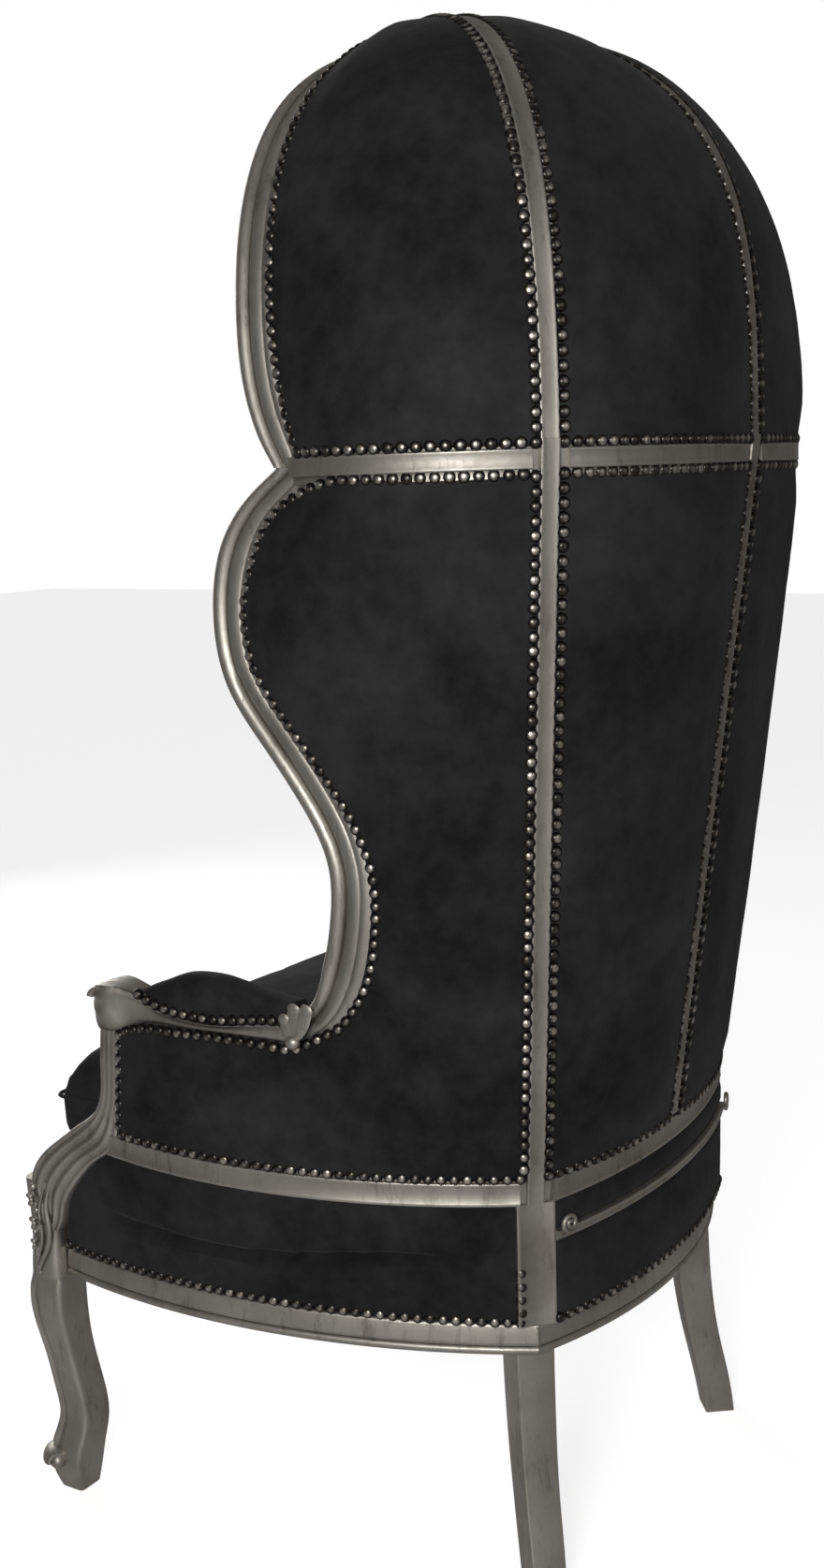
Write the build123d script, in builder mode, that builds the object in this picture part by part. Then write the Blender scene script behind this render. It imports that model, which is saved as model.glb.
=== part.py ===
from build123d import *
import os
from math import sin, cos, radians

# Hall porter chair: a hooded armchair in show-wood and black fabric.
# Millimetres. +Z is up, the sitter faces -Y, and x = 0 is the plane of symmetry.
# The ribs of the hood stand in upright planes that all pass through one vertical axis.

# Main heights
rail_bottom = 278.0
rail_height = 36.0
timber_top = 400.0
band_bottom = 451.0
band_height = 30.0
hood_bottom = 1197.0
hood_band_height = 36.0
arch_crown = 1657.0
rib_crown = 1678.0

# The hood's axis and its ribs
axis_y = -15.0
rear_angle = 41.9
rib_width = 36.0
rib_depth = 36.0
stump_width = 43.0
crown_radius = 62.0
crown_block_depth = 34.0

# Plan sizes at the seat rail, at the lower band and at the hood band
rail_front_x = 325.0
rail_front_y = -340.0
rail_post_radius = 348.0
rail_back_radius = 307.0
rail_side_rise = 46.0
band_front_x = 337.0
band_front_y = -267.0
band_post_radius = 351.0
band_back_radius = 308.0
band_side_rise = 50.0
band_back_rise = 12.0
hood_front_x = 345.0
hood_front_y = 45.0
hood_post_radius = 443.0
hood_back_radius = 411.0
hood_side_rise = 41.0
hood_back_rise = 21.0

# The side panel's plan at the arm, the waist and the ear
arm_height = 640.0
arm_side_rise = 50.0
waist_height = 845.0
waist_front_x = 346.0
waist_front_y = -60.0
waist_side_rise = 36.0
ear_height = 1080.0
ear_front_x = 349.0
ear_front_y = -60.0
ear_side_rise = 42.0

# Depths of the timber and of the upholstery
frame_width = 36.0
band_depth = 25.0
rail_depth = 60.0
fabric_inset = 12.0
fabric_depth = 12.0
fabric_rise = 3.0
panel_bulge = 9.0
dome_bulge = 16.0
back_pad_depth = 50.0
side_pad_depth = 27.0
lining_depth = 20.0
pad_setback = 10.0
deck_depth = 10.0

# Clearances
soft_gap = 0.3
lining_gap = 2.0
cushion_gap = 4.0

rail_top = rail_bottom + rail_height
band_top = band_bottom + band_height
hood_top = hood_bottom + hood_band_height
hood_middle = hood_bottom + hood_band_height / 2


# Geometry shared by the pieces

def direction(angle):
    return Vector(sin(radians(angle)), cos(radians(angle)))


def across(angle):
    return Vector(cos(radians(angle)), -sin(radians(angle)))


def on_rib(angle, radius, sideways):
    """A plan point at a radius from the hood's axis and a distance sideways of the rib's plane."""
    return Vector(0, axis_y) + direction(angle) * radius + across(angle) * sideways


def blend(low, high, share):
    return low + (high - low) * share


def share_of(z, low, high):
    return (z - low) / (high - low)


def post_radius(z):
    if z < band_bottom:
        return blend(rail_post_radius, band_post_radius, share_of(z, rail_bottom, band_bottom))
    return blend(band_post_radius, hood_post_radius, share_of(z, band_bottom, hood_middle))


def back_radius(z):
    if z < band_bottom:
        return blend(rail_back_radius, band_back_radius, share_of(z, rail_bottom, band_bottom))
    return blend(band_back_radius, hood_back_radius, share_of(z, band_bottom, hood_middle))


def bowed(start, end, rise):
    """The middle point of an arc over a chord, raised away from the chair."""
    chord = end - start
    outward = Vector(-chord.Y, chord.X).normalized()
    middle = (start + end) / 2
    if (middle - Vector(0, axis_y)).dot(outward) < 0:
        outward = outward * -1
    return middle, outward, middle + outward * rise


def wall_sketch(z, start, start_in, end, end_in, rise, depth, extra=0.0, inset=0.0):
    """A bowed strip of wall in plan, whose ends run inwards along start_in and end_in."""
    first = start + start_in * inset
    last = end + end_in * inset
    middle, outward, top = bowed(start, end, rise + extra)
    outer_top = top - outward * inset
    inner_top = top - outward * (inset + depth)
    with BuildSketch(Plane.XY.offset(z)) as wall:
        with BuildLine():
            ThreePointArc(first, outer_top, last)
            Line(last, last + end_in * depth)
            ThreePointArc(last + end_in * depth, inner_top, first + start_in * depth)
            Line(first + start_in * depth, first)
        make_face()
    return wall.sketch


def side_wall(z, front, rise, depth, extra=0.0, inset=0.0, half=rib_width / 2, lift=0.0):
    """The side of the chair in plan, from a front point back to the rear post."""
    post = on_rib(rear_angle, post_radius(z) + lift, half)
    return wall_sketch(z, Vector(front[0] + lift, front[1]), Vector(-1, 0), post,
                       direction(rear_angle) * -1, rise, depth, extra, inset)


def back_wall(z, rise, depth, extra=0.0, inset=0.0, half=rib_width / 2, lift=0.0):
    """The left half of the back in plan, from the rear post to the centre rib."""
    post = on_rib(rear_angle, post_radius(z) + lift, -half)
    centre = on_rib(0, back_radius(z) + lift, half)
    return wall_sketch(z, post, direction(rear_angle) * -1, centre, Vector(0, -1),
                       rise, depth, extra, inset)


def round_back(z, depth, inset=0.0, half=rib_width / 2):
    """The whole back in plan, from post to post, as one round wall."""
    left = on_rib(rear_angle, post_radius(z) - inset, -half)
    centre = on_rib(0, back_radius(z) - inset, 0)
    inner_left = left - direction(rear_angle) * depth
    inner_centre = centre - Vector(0, depth)
    with BuildSketch(Plane.XY.offset(z)) as wall:
        with BuildLine():
            ThreePointArc(left, centre, (-left.X, left.Y))
            Line((-left.X, left.Y), (-inner_left.X, inner_left.Y))
            ThreePointArc((-inner_left.X, inner_left.Y), inner_centre, inner_left)
            Line(inner_left, left)
        make_face()
    return wall.sketch


def meridian_plane(angle, sideways=0.0):
    origin = Vector(0, axis_y) + across(angle) * sideways
    return Plane(origin=origin, x_dir=direction(angle), z_dir=across(angle))


# Side view of the show-wood frame: front edges of the wing and the arch,
# as shares of the frame's reach (y) and of each piece's height (z)
joint_y = -5.0
frame_reach = 125.0
arm_rail_top = 640.0
arm_rail_bottom = 604.0
wing_edge_shares = [(0.0, 0.0), (0.32, 0.037), (0.544, 0.11), (0.664, 0.209), (0.68, 0.304),
                    (0.4, 0.433), (0.072, 0.529), (-0.224, 0.626), (-0.32, 0.73),
                    (-0.248, 0.844), (0.04, 0.95), (0.328, 1.0), (0.568, 1.04)]
arch_edge_shares = [(0.504, -0.113), (0.328, 0.0), (0.136, 0.124), (-0.032, 0.351),
                    (-0.12, 0.577), (-0.152, 0.78), (-0.12, 0.962), (-0.088, 1.143)]
wing_edge = [(joint_y + y * frame_reach, arm_rail_top + z * (hood_middle - arm_rail_top))
             for y, z in wing_edge_shares]
arch_edge = [(joint_y + y * frame_reach, hood_middle + z * (arch_crown - hood_middle))
             for y, z in arch_edge_shares]
stations = 24


def ribbon_prism(points, width, start_x, end_x, setback=0.0):
    """A band of even width behind a front edge drawn in side view, run across the chair."""
    edge = Spline(*points)
    front = []
    rear = []
    for step in range(stations + 1):
        here = edge @ (step / stations)
        along = edge % (step / stations)
        behind = Vector(along.Y, -along.X)
        front.append(here + behind * setback)
        rear.append(here + behind * (setback + width))
    with BuildPart() as prism:
        with BuildSketch(Plane.YZ.offset(start_x)):
            with BuildLine():
                Spline(*front)
                Line(front[-1], rear[-1])
                Spline(*reversed(rear))
                Line(rear[0], front[0])
            make_face()
        extrude(amount=end_x - start_x)
    return prism.part


def side_front(z):
    """Where the side's plan arc starts at a height: front x, front y and rise."""
    levels = [(band_bottom, band_front_x, band_front_y, band_side_rise),
              (arm_height, band_front_x, band_front_y, arm_side_rise),
              (waist_height, waist_front_x, waist_front_y, waist_side_rise),
              (ear_height, ear_front_x, ear_front_y, ear_side_rise),
              (hood_middle, hood_front_x, hood_front_y, hood_side_rise)]
    for low, high in zip(levels, levels[1:]):
        if z <= high[0]:
            break
    share = share_of(z, low[0], high[0])
    return [blend(low[i], high[i], share) for i in (1, 2, 3)]


def back_rise(z):
    return blend(band_back_rise, hood_back_rise, share_of(z, band_bottom, hood_middle))


def biggest(part):
    return part.solids().sort_by(SortBy.VOLUME)[-1]


# Dome: each meridian is one curve from the hood band up to the crown.
# Its control points are a foot, a wall point above it, a shoulder point and the crown.
arch_wall_height = 210.0
arch_shoulder_in = 72.0
arch_shoulder_up = 6.0
post_wall_out = 3.0
post_wall_height = 370.0
post_shoulder_in = 93.0
post_shoulder_up = 8.0
back_wall_in = 4.0
back_wall_height = 182.0
back_shoulder_out = 20.0
back_shoulder_down = 4.0

arch_meridian = (hood_front_x + fabric_rise, 0.0, arch_wall_height, -arch_shoulder_in,
                 arch_shoulder_up, arch_crown)
post_meridian = (hood_post_radius, post_wall_out, post_wall_height, -post_shoulder_in,
                 post_shoulder_up, rib_crown)
back_meridian = (hood_back_radius, -back_wall_in, back_wall_height, back_shoulder_out,
                 -back_shoulder_down, rib_crown)


def meridian_points(sizes, foot, inset, bulge, inner_end, z):
    """Four control points of a meridian, each moved in by inset and out by bulge."""
    radius, wall_out, wall_up, shoulder_out, shoulder_up, crown = sizes
    return [Vector(foot - inset, z),
            Vector(foot + wall_out - inset + bulge, z + wall_up),
            Vector(foot + shoulder_out - inset + bulge, crown + shoulder_up - inset + bulge),
            Vector(inner_end, crown - inset + bulge / 2)]


def meridian_face(sizes, foot, depth, angle, sideways, inset=0.0, bulge=0.0, inner_end=0.0,
                  z=hood_top, facets=0):
    """A strip of dome in an upright plane through the hood's axis, or beside it."""
    outer = meridian_points(sizes, foot, inset, bulge, inner_end, z)
    inner = meridian_points(sizes, foot, inset + depth, bulge, inner_end, z)
    with BuildSketch(meridian_plane(angle, sideways)) as face:
        with BuildLine():
            if facets:
                shares = [step / facets for step in range(facets + 1)]
                outer = [Bezier(*outer, mode=Mode.PRIVATE) @ share for share in shares]
                inner = [Bezier(*inner, mode=Mode.PRIVATE) @ share for share in shares]
                Polyline(*outer)
                Polyline(*reversed(inner))
            else:
                Bezier(*outer)
                Bezier(*reversed(inner))
            Line(outer[-1], inner[-1])
            Line(inner[0], outer[0])
        make_face()
    return face.sketch


def mixed(first, last, share):
    return [blend(a, b, share) for a, b in zip(first, last)]


def foot_on_arc(first, last, rise, angle, sideways):
    """How far a meridian's foot stands from the axis to lie on a bowed wall's outer arc."""
    arc = ThreePointArc(first, bowed(first, last, rise)[2], last)
    origin = Vector(0, axis_y) + across(angle) * sideways
    from_centre = origin - arc.arc_center
    along = from_centre.dot(direction(angle))
    return -along + (along ** 2 - from_centre.dot(from_centre) + arc.radius ** 2) ** (1 / 2)


crown_inset = 8.0


def gore(first, last, first_angle, last_angle, first_side, last_side, feet, depth,
         first_inset, last_inset, bulge, inner_end, z):
    """Meridians of a gore of the dome, from one rib's side to the next."""
    faces = []
    for step, foot in enumerate(feet):
        share = step / (len(feet) - 1)
        faces.append(meridian_face(mixed(first, last, share), foot, depth,
                                   blend(first_angle, last_angle, share),
                                   blend(first_side, last_side, share),
                                   blend(first_inset, last_inset, share),
                                   bulge * sin(radians(180 * share)), inner_end, z))
    return faces


# Plan corners of the walls at the hood band
gore_side = rib_width / 2 + soft_gap
gore_count = 6
arch_foot_in = 20.0
post_corner = on_rib(rear_angle, hood_post_radius, rib_width / 2)
post_back_corner = on_rib(rear_angle, hood_post_radius, -rib_width / 2)
centre_corner = on_rib(0, hood_back_radius, rib_width / 2)
hood_front_corner = Vector(hood_front_x, hood_front_y)


def front_feet(side):
    """Feet of the front gore, from the rear post to the arch."""
    feet = []
    for step in range(gore_count):
        share = step / gore_count
        feet.append(foot_on_arc(hood_front_corner, post_corner, hood_side_rise,
                                blend(rear_angle, 90, share), blend(side, 0, share)))
    return feet + [hood_front_x - arch_foot_in]


def rear_feet(side):
    """Feet of the rear gore, from the centre rib to the rear post."""
    feet = []
    for step in range(gore_count + 1):
        share = step / gore_count
        feet.append(foot_on_arc(centre_corner, post_back_corner, hood_back_rise,
                                blend(0, rear_angle, share), blend(side, -side, share)))
    return feet


# Cutters: side views run across the chair
wing_cutter = ribbon_prism(wing_edge, frame_width, hood_front_x / 2, hood_front_x * 2)
arch_cutter = ribbon_prism(arch_edge, frame_width, -hood_front_x * 2, hood_front_x * 2)
wing_pad_cutter = ribbon_prism(wing_edge, pad_setback, hood_front_x / 4, hood_front_x * 2)
arch_pad_cutter = ribbon_prism(arch_edge, pad_setback, -hood_front_x * 2, hood_front_x * 2)

os.makedirs("parts", exist_ok=True)
finished = {}


# Front left leg: a block between the rails, and a cabriole below it
leg_x = 316.0
leg_block = 48.0
leg_y = rail_front_y - leg_block / 2
leg_block_out = 4.0
leg_size = 52.0
leg_corner = 9.0
# height, inward offset and width of each section, as shares
cabriole_shares = [(1.0, -0.06, 0.96), (0.93, -0.09, 1.02), (0.82, -0.06, 0.94), (0.65, 0.12, 0.79),
                   (0.47, 0.33, 0.75), (0.31, 0.4, 0.76), (0.19, 0.17, 0.94), (0.09, 0.12, 0.86),
                   (0.0, 0.16, 0.62)]

with BuildPart() as front_left_leg:
    for height_share, inward_share, width_share in cabriole_shares:
        inward = inward_share * leg_size * sin(radians(45))
        width = width_share * leg_size
        section = Plane(origin=(leg_x - inward, leg_y + inward, height_share * rail_bottom))
        with BuildSketch(section) as leg_section:
            Rectangle(width, width)
            chamfer(leg_section.vertices(), leg_corner * width_share)
    loft()
    with BuildSketch(Plane.XY.offset(rail_bottom)) as block:
        with Locations((leg_x + leg_block_out, leg_y)):
            Rectangle(leg_block, leg_block)
        fillet(block.vertices().sort_by(Axis.X)[-2:].sort_by(Axis.Y)[0], leg_corner)
    extrude(amount=timber_top - rail_bottom)
front_left_leg.part.label = "front_left_leg"
finished["front_left_leg"] = front_left_leg


# Rear left leg: square, turned to the rear post and swept back to the foot
rear_leg_turn = 38.0
rear_leg_top = 44.0
rear_leg_radius = 313.0
rear_leg_sweep = 38.0
# height, outward sweep and width of each section, as shares
rear_leg_shares = [(1.0, 0.0, 1.0), (0.7, 0.12, 0.96), (0.4, 0.42, 0.91), (0.12, 0.86, 0.88),
                   (0.0, 1.0, 0.84)]

with BuildPart() as rear_left_leg:
    for height_share, sweep_share, width_share in rear_leg_shares:
        centre = on_rib(rear_angle, rear_leg_radius + sweep_share * rear_leg_sweep, 0)
        section = Plane(origin=(centre.X, centre.Y, height_share * rail_bottom),
                        x_dir=across(rear_leg_turn))
        with BuildSketch(section):
            Rectangle(rear_leg_top * width_share, rear_leg_top * width_share)
    loft()
rear_left_leg.part.label = "rear_left_leg"
finished["rear_left_leg"] = rear_left_leg


# Front seat rail: bowed in plan, its lower edge shaped, between the blocks of the front legs
timber_depth = rail_depth - fabric_inset
front_bow = 12.0
front_drop = 16.0
front_plan_y = leg_y - leg_block / 4
front_side_x = leg_x + leg_block_out - leg_block / 2
# half of the lower edge, from the leg to the middle, as shares of half the span and of the drop
front_edge_shares = [(1.0, 0.0), (0.8, -0.55), (0.55, 0.0), (0.3, 0.35), (0.0, 1.0)]


def front_wall(z, depth, inset=0.0):
    """The front of the seat in plan, between the leg blocks."""
    left = Vector(front_side_x, front_plan_y + inset)
    right = Vector(-front_side_x, front_plan_y + inset)
    with BuildSketch(Plane.XY.offset(z)) as wall:
        with BuildLine():
            ThreePointArc(left, (0, front_plan_y - front_bow + inset), right)
            Line(right, right + Vector(0, depth))
            ThreePointArc(right + Vector(0, depth), (0, front_plan_y - front_bow + inset + depth),
                          left + Vector(0, depth))
            Line(left + Vector(0, depth), left)
        make_face()
    return wall.sketch


front_edge = [(x * front_side_x, rail_bottom - drop * front_drop) for x, drop in front_edge_shares]
front_edge += [(-x, z) for x, z in reversed(front_edge[:-1])]
with BuildPart() as front_seat_rail:
    extrude(front_wall(rail_bottom - front_drop, rail_depth),
            amount=front_drop + rail_height)
    extrude(front_wall(rail_top, timber_depth, inset=fabric_inset), amount=timber_top - rail_top)
    with BuildSketch(Plane.XZ):
        with BuildLine():
            Spline(*front_edge)
            Line(front_edge[-1], (-front_side_x, timber_top))
            Line((-front_side_x, timber_top), (front_side_x, timber_top))
            Line((front_side_x, timber_top), front_edge[0])
        make_face()
    extrude(amount=-rail_front_y * 2, mode=Mode.INTERSECT)
front_seat_rail.part.label = "front_seat_rail"
finished["front_seat_rail"] = front_seat_rail


# Seat rails: a beaded show-wood moulding with timber above it, set back for the fabric
bead_height = 15.0
bead_proud = 5.0
rail_front = (rail_front_x, rail_front_y)

with BuildPart() as left_seat_rail:
    extrude(side_wall(rail_bottom, rail_front, rail_side_rise, rail_depth, half=0),
            amount=bead_height)
    extrude(side_wall(rail_bottom + bead_height, rail_front, rail_side_rise,
                      rail_depth - bead_proud, inset=bead_proud, half=0),
            amount=rail_height - bead_height)
    extrude(side_wall(rail_top, rail_front, rail_side_rise, timber_depth, inset=fabric_inset,
                      half=stump_width / 2), amount=timber_top - rail_top)
    add(front_seat_rail.part, mode=Mode.SUBTRACT)
left_seat_rail.part.label = "left_seat_rail"
finished["left_seat_rail"] = left_seat_rail

with BuildPart() as rear_seat_rail:
    extrude(round_back(rail_bottom, rail_depth, half=0), amount=bead_height)
    extrude(round_back(rail_bottom + bead_height, rail_depth - bead_proud, inset=bead_proud,
                       half=0), amount=rail_height - bead_height)
    extrude(round_back(rail_top, timber_depth, inset=fabric_inset, half=stump_width / 2),
            amount=timber_top - rail_top)
rear_seat_rail.part.label = "rear_seat_rail"
finished["rear_seat_rail"] = rear_seat_rail


# Back posts: a wide stump between the seat rail and the lower band, and a rib above it
def post_solid(gap):
    """The left back post, grown all round by a gap."""
    stump_radius = post_radius(band_bottom)
    with BuildPart() as post:
        with BuildSketch(meridian_plane(rear_angle)):
            with BuildLine():
                Polyline((post_radius(rail_top), rail_top), (stump_radius, band_bottom),
                         (stump_radius - rib_depth - gap, band_bottom),
                         (post_radius(rail_top) - rib_depth - gap, rail_top), close=True)
            make_face()
        extrude(amount=stump_width / 2 + gap, both=True)
        with BuildSketch(meridian_plane(rear_angle)):
            with BuildLine():
                Polyline((stump_radius, band_bottom), (hood_post_radius, hood_middle),
                         (hood_post_radius, hood_top),
                         (hood_post_radius - rib_depth - gap, hood_top),
                         (hood_post_radius - rib_depth - gap, hood_middle),
                         (stump_radius - rib_depth - gap, band_bottom), close=True)
            make_face()
        extrude(amount=rib_width / 2 + gap, both=True)
    return post.part


def rib_solid(gap):
    """The centre rib of the back, grown all round by a gap."""
    with BuildPart() as rib:
        with BuildSketch(meridian_plane(0)):
            with BuildLine():
                Polyline((back_radius(band_top), band_top), (hood_back_radius, hood_middle),
                         (hood_back_radius, hood_top),
                         (hood_back_radius - rib_depth - gap, hood_top),
                         (hood_back_radius - rib_depth - gap, hood_middle),
                         (back_radius(band_top) - rib_depth - gap, band_top), close=True)
            make_face()
        extrude(amount=rib_width / 2 + gap, both=True)
    return rib.part


with BuildPart() as crown_core:
    with BuildSketch(Plane.XY.offset(hood_top)):
        with Locations((0, axis_y)):
            Circle(crown_radius)
    extrude(amount=rib_crown * 2)


def dome_rib_solid(meridian, angle, gap):
    """A rib of the dome, grown all round by a gap, from the hood band to the crown block."""
    with BuildPart() as rib:
        extrude(meridian_face(meridian, meridian[0], rib_depth + gap, angle, 0),
                amount=rib_width / 2 + gap, both=True)
        add(crown_core.part, mode=Mode.SUBTRACT)
    return rib.part


with BuildPart() as left_back_post:
    add(post_solid(0))
left_back_post.part.label = "left_back_post"
finished["left_back_post"] = left_back_post

with BuildPart() as centre_back_rib:
    add(rib_solid(0))
centre_back_rib.part.label = "centre_back_rib"
finished["centre_back_rib"] = centre_back_rib

with BuildPart() as left_dome_rib:
    add(dome_rib_solid(post_meridian, rear_angle, 0))
left_dome_rib.part.label = "left_dome_rib"
finished["left_dome_rib"] = left_dome_rib

with BuildPart() as centre_dome_rib:
    add(dome_rib_solid(back_meridian, 0, 0))
centre_dome_rib.part.label = "centre_dome_rib"
finished["centre_dome_rib"] = centre_dome_rib

with BuildPart() as crown_block:
    with BuildSketch(Plane.XY.offset(rib_crown - crown_block_depth)):
        with Locations((0, axis_y)):
            Circle(crown_radius)
    extrude(amount=crown_block_depth)
    add(arch_cutter, mode=Mode.SUBTRACT)
    add(crown_block.solids().sort_by(Axis.Y)[-1], mode=Mode.REPLACE)
crown_block.part.label = "crown_block"
finished["crown_block"] = crown_block


# Show-wood front frame, each piece cut in two views: a side view and a front view
front_view_shares = [(-0.04, 0.96), (0.1, 0.966), (0.37, 0.98), (0.65, 0.997), (0.8, 1.0),
                     (1.06, 1.0)]
frame_x = 350.0


def wing_front_view(outer, inner):
    """The wing seen from the front: a near-upright strip between two insets from its face."""
    height = hood_middle - arm_rail_top
    outline = [(x * frame_x, arm_rail_top + z * height) for z, x in front_view_shares]
    near = [(x - outer, z) for x, z in outline]
    far = [(x - inner, z) for x, z in outline]
    with BuildPart() as strip:
        with BuildSketch(Plane.XZ):
            with BuildLine():
                Spline(*near)
                Line(near[-1], far[-1])
                Spline(*reversed(far))
                Line(far[0], near[0])
            make_face()
        extrude(amount=hood_front_x, both=True)
    return strip.part


def arch_front_view(outer, inner):
    """The left half of the arch seen from the front, between two insets from its face."""
    wall = hood_middle + arch_wall_height
    shoulder = frame_x - arch_shoulder_in
    with BuildPart() as strip:
        with BuildSketch(Plane.XZ):
            with BuildLine():
                Bezier((frame_x - outer, hood_middle), (frame_x - outer, wall),
                       (shoulder - outer, arch_crown + arch_shoulder_up - outer),
                       (0, arch_crown - outer))
                Line((0, arch_crown - outer), (0, arch_crown - inner))
                Bezier((0, arch_crown - inner),
                       (shoulder - inner, arch_crown + arch_shoulder_up - inner),
                       (frame_x - inner, wall), (frame_x - inner, hood_middle))
                Line((frame_x - inner, hood_middle), (frame_x - outer, hood_middle))
            make_face()
        extrude(amount=hood_front_x, both=True)
    return strip.part


wing_clear = wing_front_view(-soft_gap, rib_depth + soft_gap).intersect(
    ribbon_prism(wing_edge, frame_width + soft_gap * 2, 0, hood_front_x * 2, -soft_gap))
arch_clear = arch_front_view(-soft_gap, rib_depth + soft_gap).intersect(
    ribbon_prism(arch_edge, frame_width + soft_gap * 2, 0, hood_front_x * 2, -soft_gap))

with BuildPart() as left_wing_moulding:
    add(wing_front_view(0, rib_depth))
    add(wing_cutter, mode=Mode.INTERSECT)
    split(bisect_by=Plane.XY.offset(hood_middle), keep=Keep.BOTTOM)
left_wing_moulding.part.label = "left_wing_moulding"
finished["left_wing_moulding"] = left_wing_moulding

with BuildPart() as left_arch_moulding:
    add(arch_front_view(0, rib_depth))
    add(arch_cutter, mode=Mode.INTERSECT)
    split(bisect_by=Plane.XY.offset(hood_middle), keep=Keep.TOP)
left_arch_moulding.part.label = "left_arch_moulding"
finished["left_arch_moulding"] = left_arch_moulding


# Arm support: a narrow post under the arm that sweeps forward on to the leg block
support_x = 325.0
support_width = 36.0
support_height = arm_rail_bottom - timber_top
support_reach = 150.0
support_y = -232.0
# front edge upwards, then rear edge downwards, as shares of reach and height
support_front_shares = [(-1.0, 0.0), (-1.01, 0.08), (-0.87, 0.125), (-0.6, 0.27), (-0.43, 0.37),
                        (-0.285, 0.475), (-0.25, 0.67), (-0.235, 0.84), (-0.245, 1.0)]
support_rear_shares = [(0.01, 1.0), (-0.025, 0.7), (-0.07, 0.43), (-0.12, 0.31), (-0.35, 0.17),
                       (-0.61, 0.0)]


def in_side_view(shares, y, z, reach, height):
    return [(y + y_share * reach, z + z_share * height) for y_share, z_share in shares]


def side_view_slab(edges, start_x, width):
    """A slab of even width whose side view is bounded by splines that end on each other."""
    with BuildPart() as slab:
        with BuildSketch(Plane.YZ.offset(start_x)):
            with BuildLine():
                for edge, following in zip(edges, edges[1:] + edges[:1]):
                    Spline(*edge)
                    if edge[-1] != following[0]:
                        Line(edge[-1], following[0])
            make_face()
        extrude(amount=width)
    return slab.part


support_edges = [in_side_view(support_front_shares, support_y, timber_top, support_reach,
                              support_height),
                 in_side_view(support_rear_shares, support_y, timber_top, support_reach,
                              support_height)]
support_cutter = side_view_slab(support_edges, hood_front_x / 2, hood_front_x)

with BuildPart() as left_arm_support:
    add(side_view_slab(support_edges, support_x - support_width / 2, support_width))
left_arm_support.part.label = "left_arm_support"
finished["left_arm_support"] = left_arm_support


# Arm rail: level from the wing forward, rising to a scroll that overhangs the support
arm_length = 280.0
arm_overlap = 20.0
arm_depth = 36.0
arm_width = 38.0
arm_x = 348.0
arm_top_shares = [(-0.99, 0.86), (-0.94, 1.22), (-0.85, 1.4), (-0.75, 1.33), (-0.62, 1.02),
                  (-0.42, 0.72), (-0.22, 0.76), (0.0, 1.0)]
arm_nose_shares = [(-0.93, 0.0), (-0.98, 0.38), (-0.99, 0.86)]
# outer and inner edges in plan, as shares of the length and of the width in from arm_x
arm_outer_shares = [(0.0, 0.17), (-0.35, 0.0), (-0.66, 0.16), (-0.75, 0.12), (-0.86, -0.1),
                    (-0.96, 0.16), (-1.02, 0.64)]
arm_inner_shares = [(-1.02, 0.64), (-0.97, 1.08), (-0.86, 1.27), (-0.75, 1.17), (-0.66, 1.16),
                    (-0.35, 1.02), (0.0, 1.17)]

arm_top = in_side_view(arm_top_shares, joint_y, arm_rail_bottom, arm_length, arm_depth)
arm_nose = in_side_view(arm_nose_shares, joint_y, arm_rail_bottom, arm_length, arm_depth)
arm_back = [(joint_y + arm_overlap, arm_rail_top), (joint_y + arm_overlap, arm_rail_bottom)]
arm_under = [arm_back[1], arm_nose[0]]
arm_side = [arm_top, arm_back, arm_under, arm_nose]
arm_outer = [Vector(arm_x - x * arm_width, joint_y + y * arm_length) for y, x in arm_outer_shares]
arm_inner = [Vector(arm_x - x * arm_width, joint_y + y * arm_length) for y, x in arm_inner_shares]
arm_cutter = side_view_slab(arm_side, hood_front_x / 2, hood_front_x)

with BuildPart() as left_arm_rail:
    with BuildSketch(Plane.XY.offset(arm_rail_bottom - arm_depth)):
        with BuildLine():
            Spline(*arm_outer)
            Spline(*arm_inner)
            Polyline(arm_inner[-1], arm_inner[-1] + Vector(0, arm_overlap),
                     arm_outer[0] + Vector(0, arm_overlap), arm_outer[0])
        make_face()
    extrude(amount=arm_depth * 4)
    add(side_view_slab(arm_side, support_x - arm_x / 4, arm_x / 2), mode=Mode.INTERSECT)
    add(wing_cutter, mode=Mode.SUBTRACT)
    add(biggest(left_arm_rail.part), mode=Mode.REPLACE)
left_arm_rail.part.label = "left_arm_rail"
finished["left_arm_rail"] = left_arm_rail


# Bands: the hoops that carry the fabric's edges
with BuildPart() as left_lower_band:
    extrude(side_wall(band_bottom, (band_front_x, band_front_y), band_side_rise, band_depth),
            amount=band_height)
    add(support_cutter, mode=Mode.SUBTRACT)
    add(biggest(left_lower_band.part), mode=Mode.REPLACE)
left_lower_band.part.label = "left_lower_band"
finished["left_lower_band"] = left_lower_band

with BuildPart() as rear_lower_band:
    extrude(round_back(band_bottom, band_depth), amount=band_height)
rear_lower_band.part.label = "rear_lower_band"
finished["rear_lower_band"] = rear_lower_band

with BuildPart() as left_hood_band:
    extrude(side_wall(hood_middle, (hood_front_x, hood_front_y), hood_side_rise, band_depth),
            amount=hood_band_height / 2, both=True)
    add(wing_cutter, mode=Mode.SUBTRACT)
    add(arch_cutter, mode=Mode.SUBTRACT)
    add(biggest(left_hood_band.part), mode=Mode.REPLACE)
left_hood_band.part.label = "left_hood_band"
finished["left_hood_band"] = left_hood_band

with BuildPart() as rear_left_hood_band:
    extrude(back_wall(hood_middle, hood_back_rise, band_depth),
            amount=hood_band_height / 2, both=True)
rear_left_hood_band.part.label = "rear_left_hood_band"
finished["rear_left_hood_band"] = rear_left_hood_band

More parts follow.
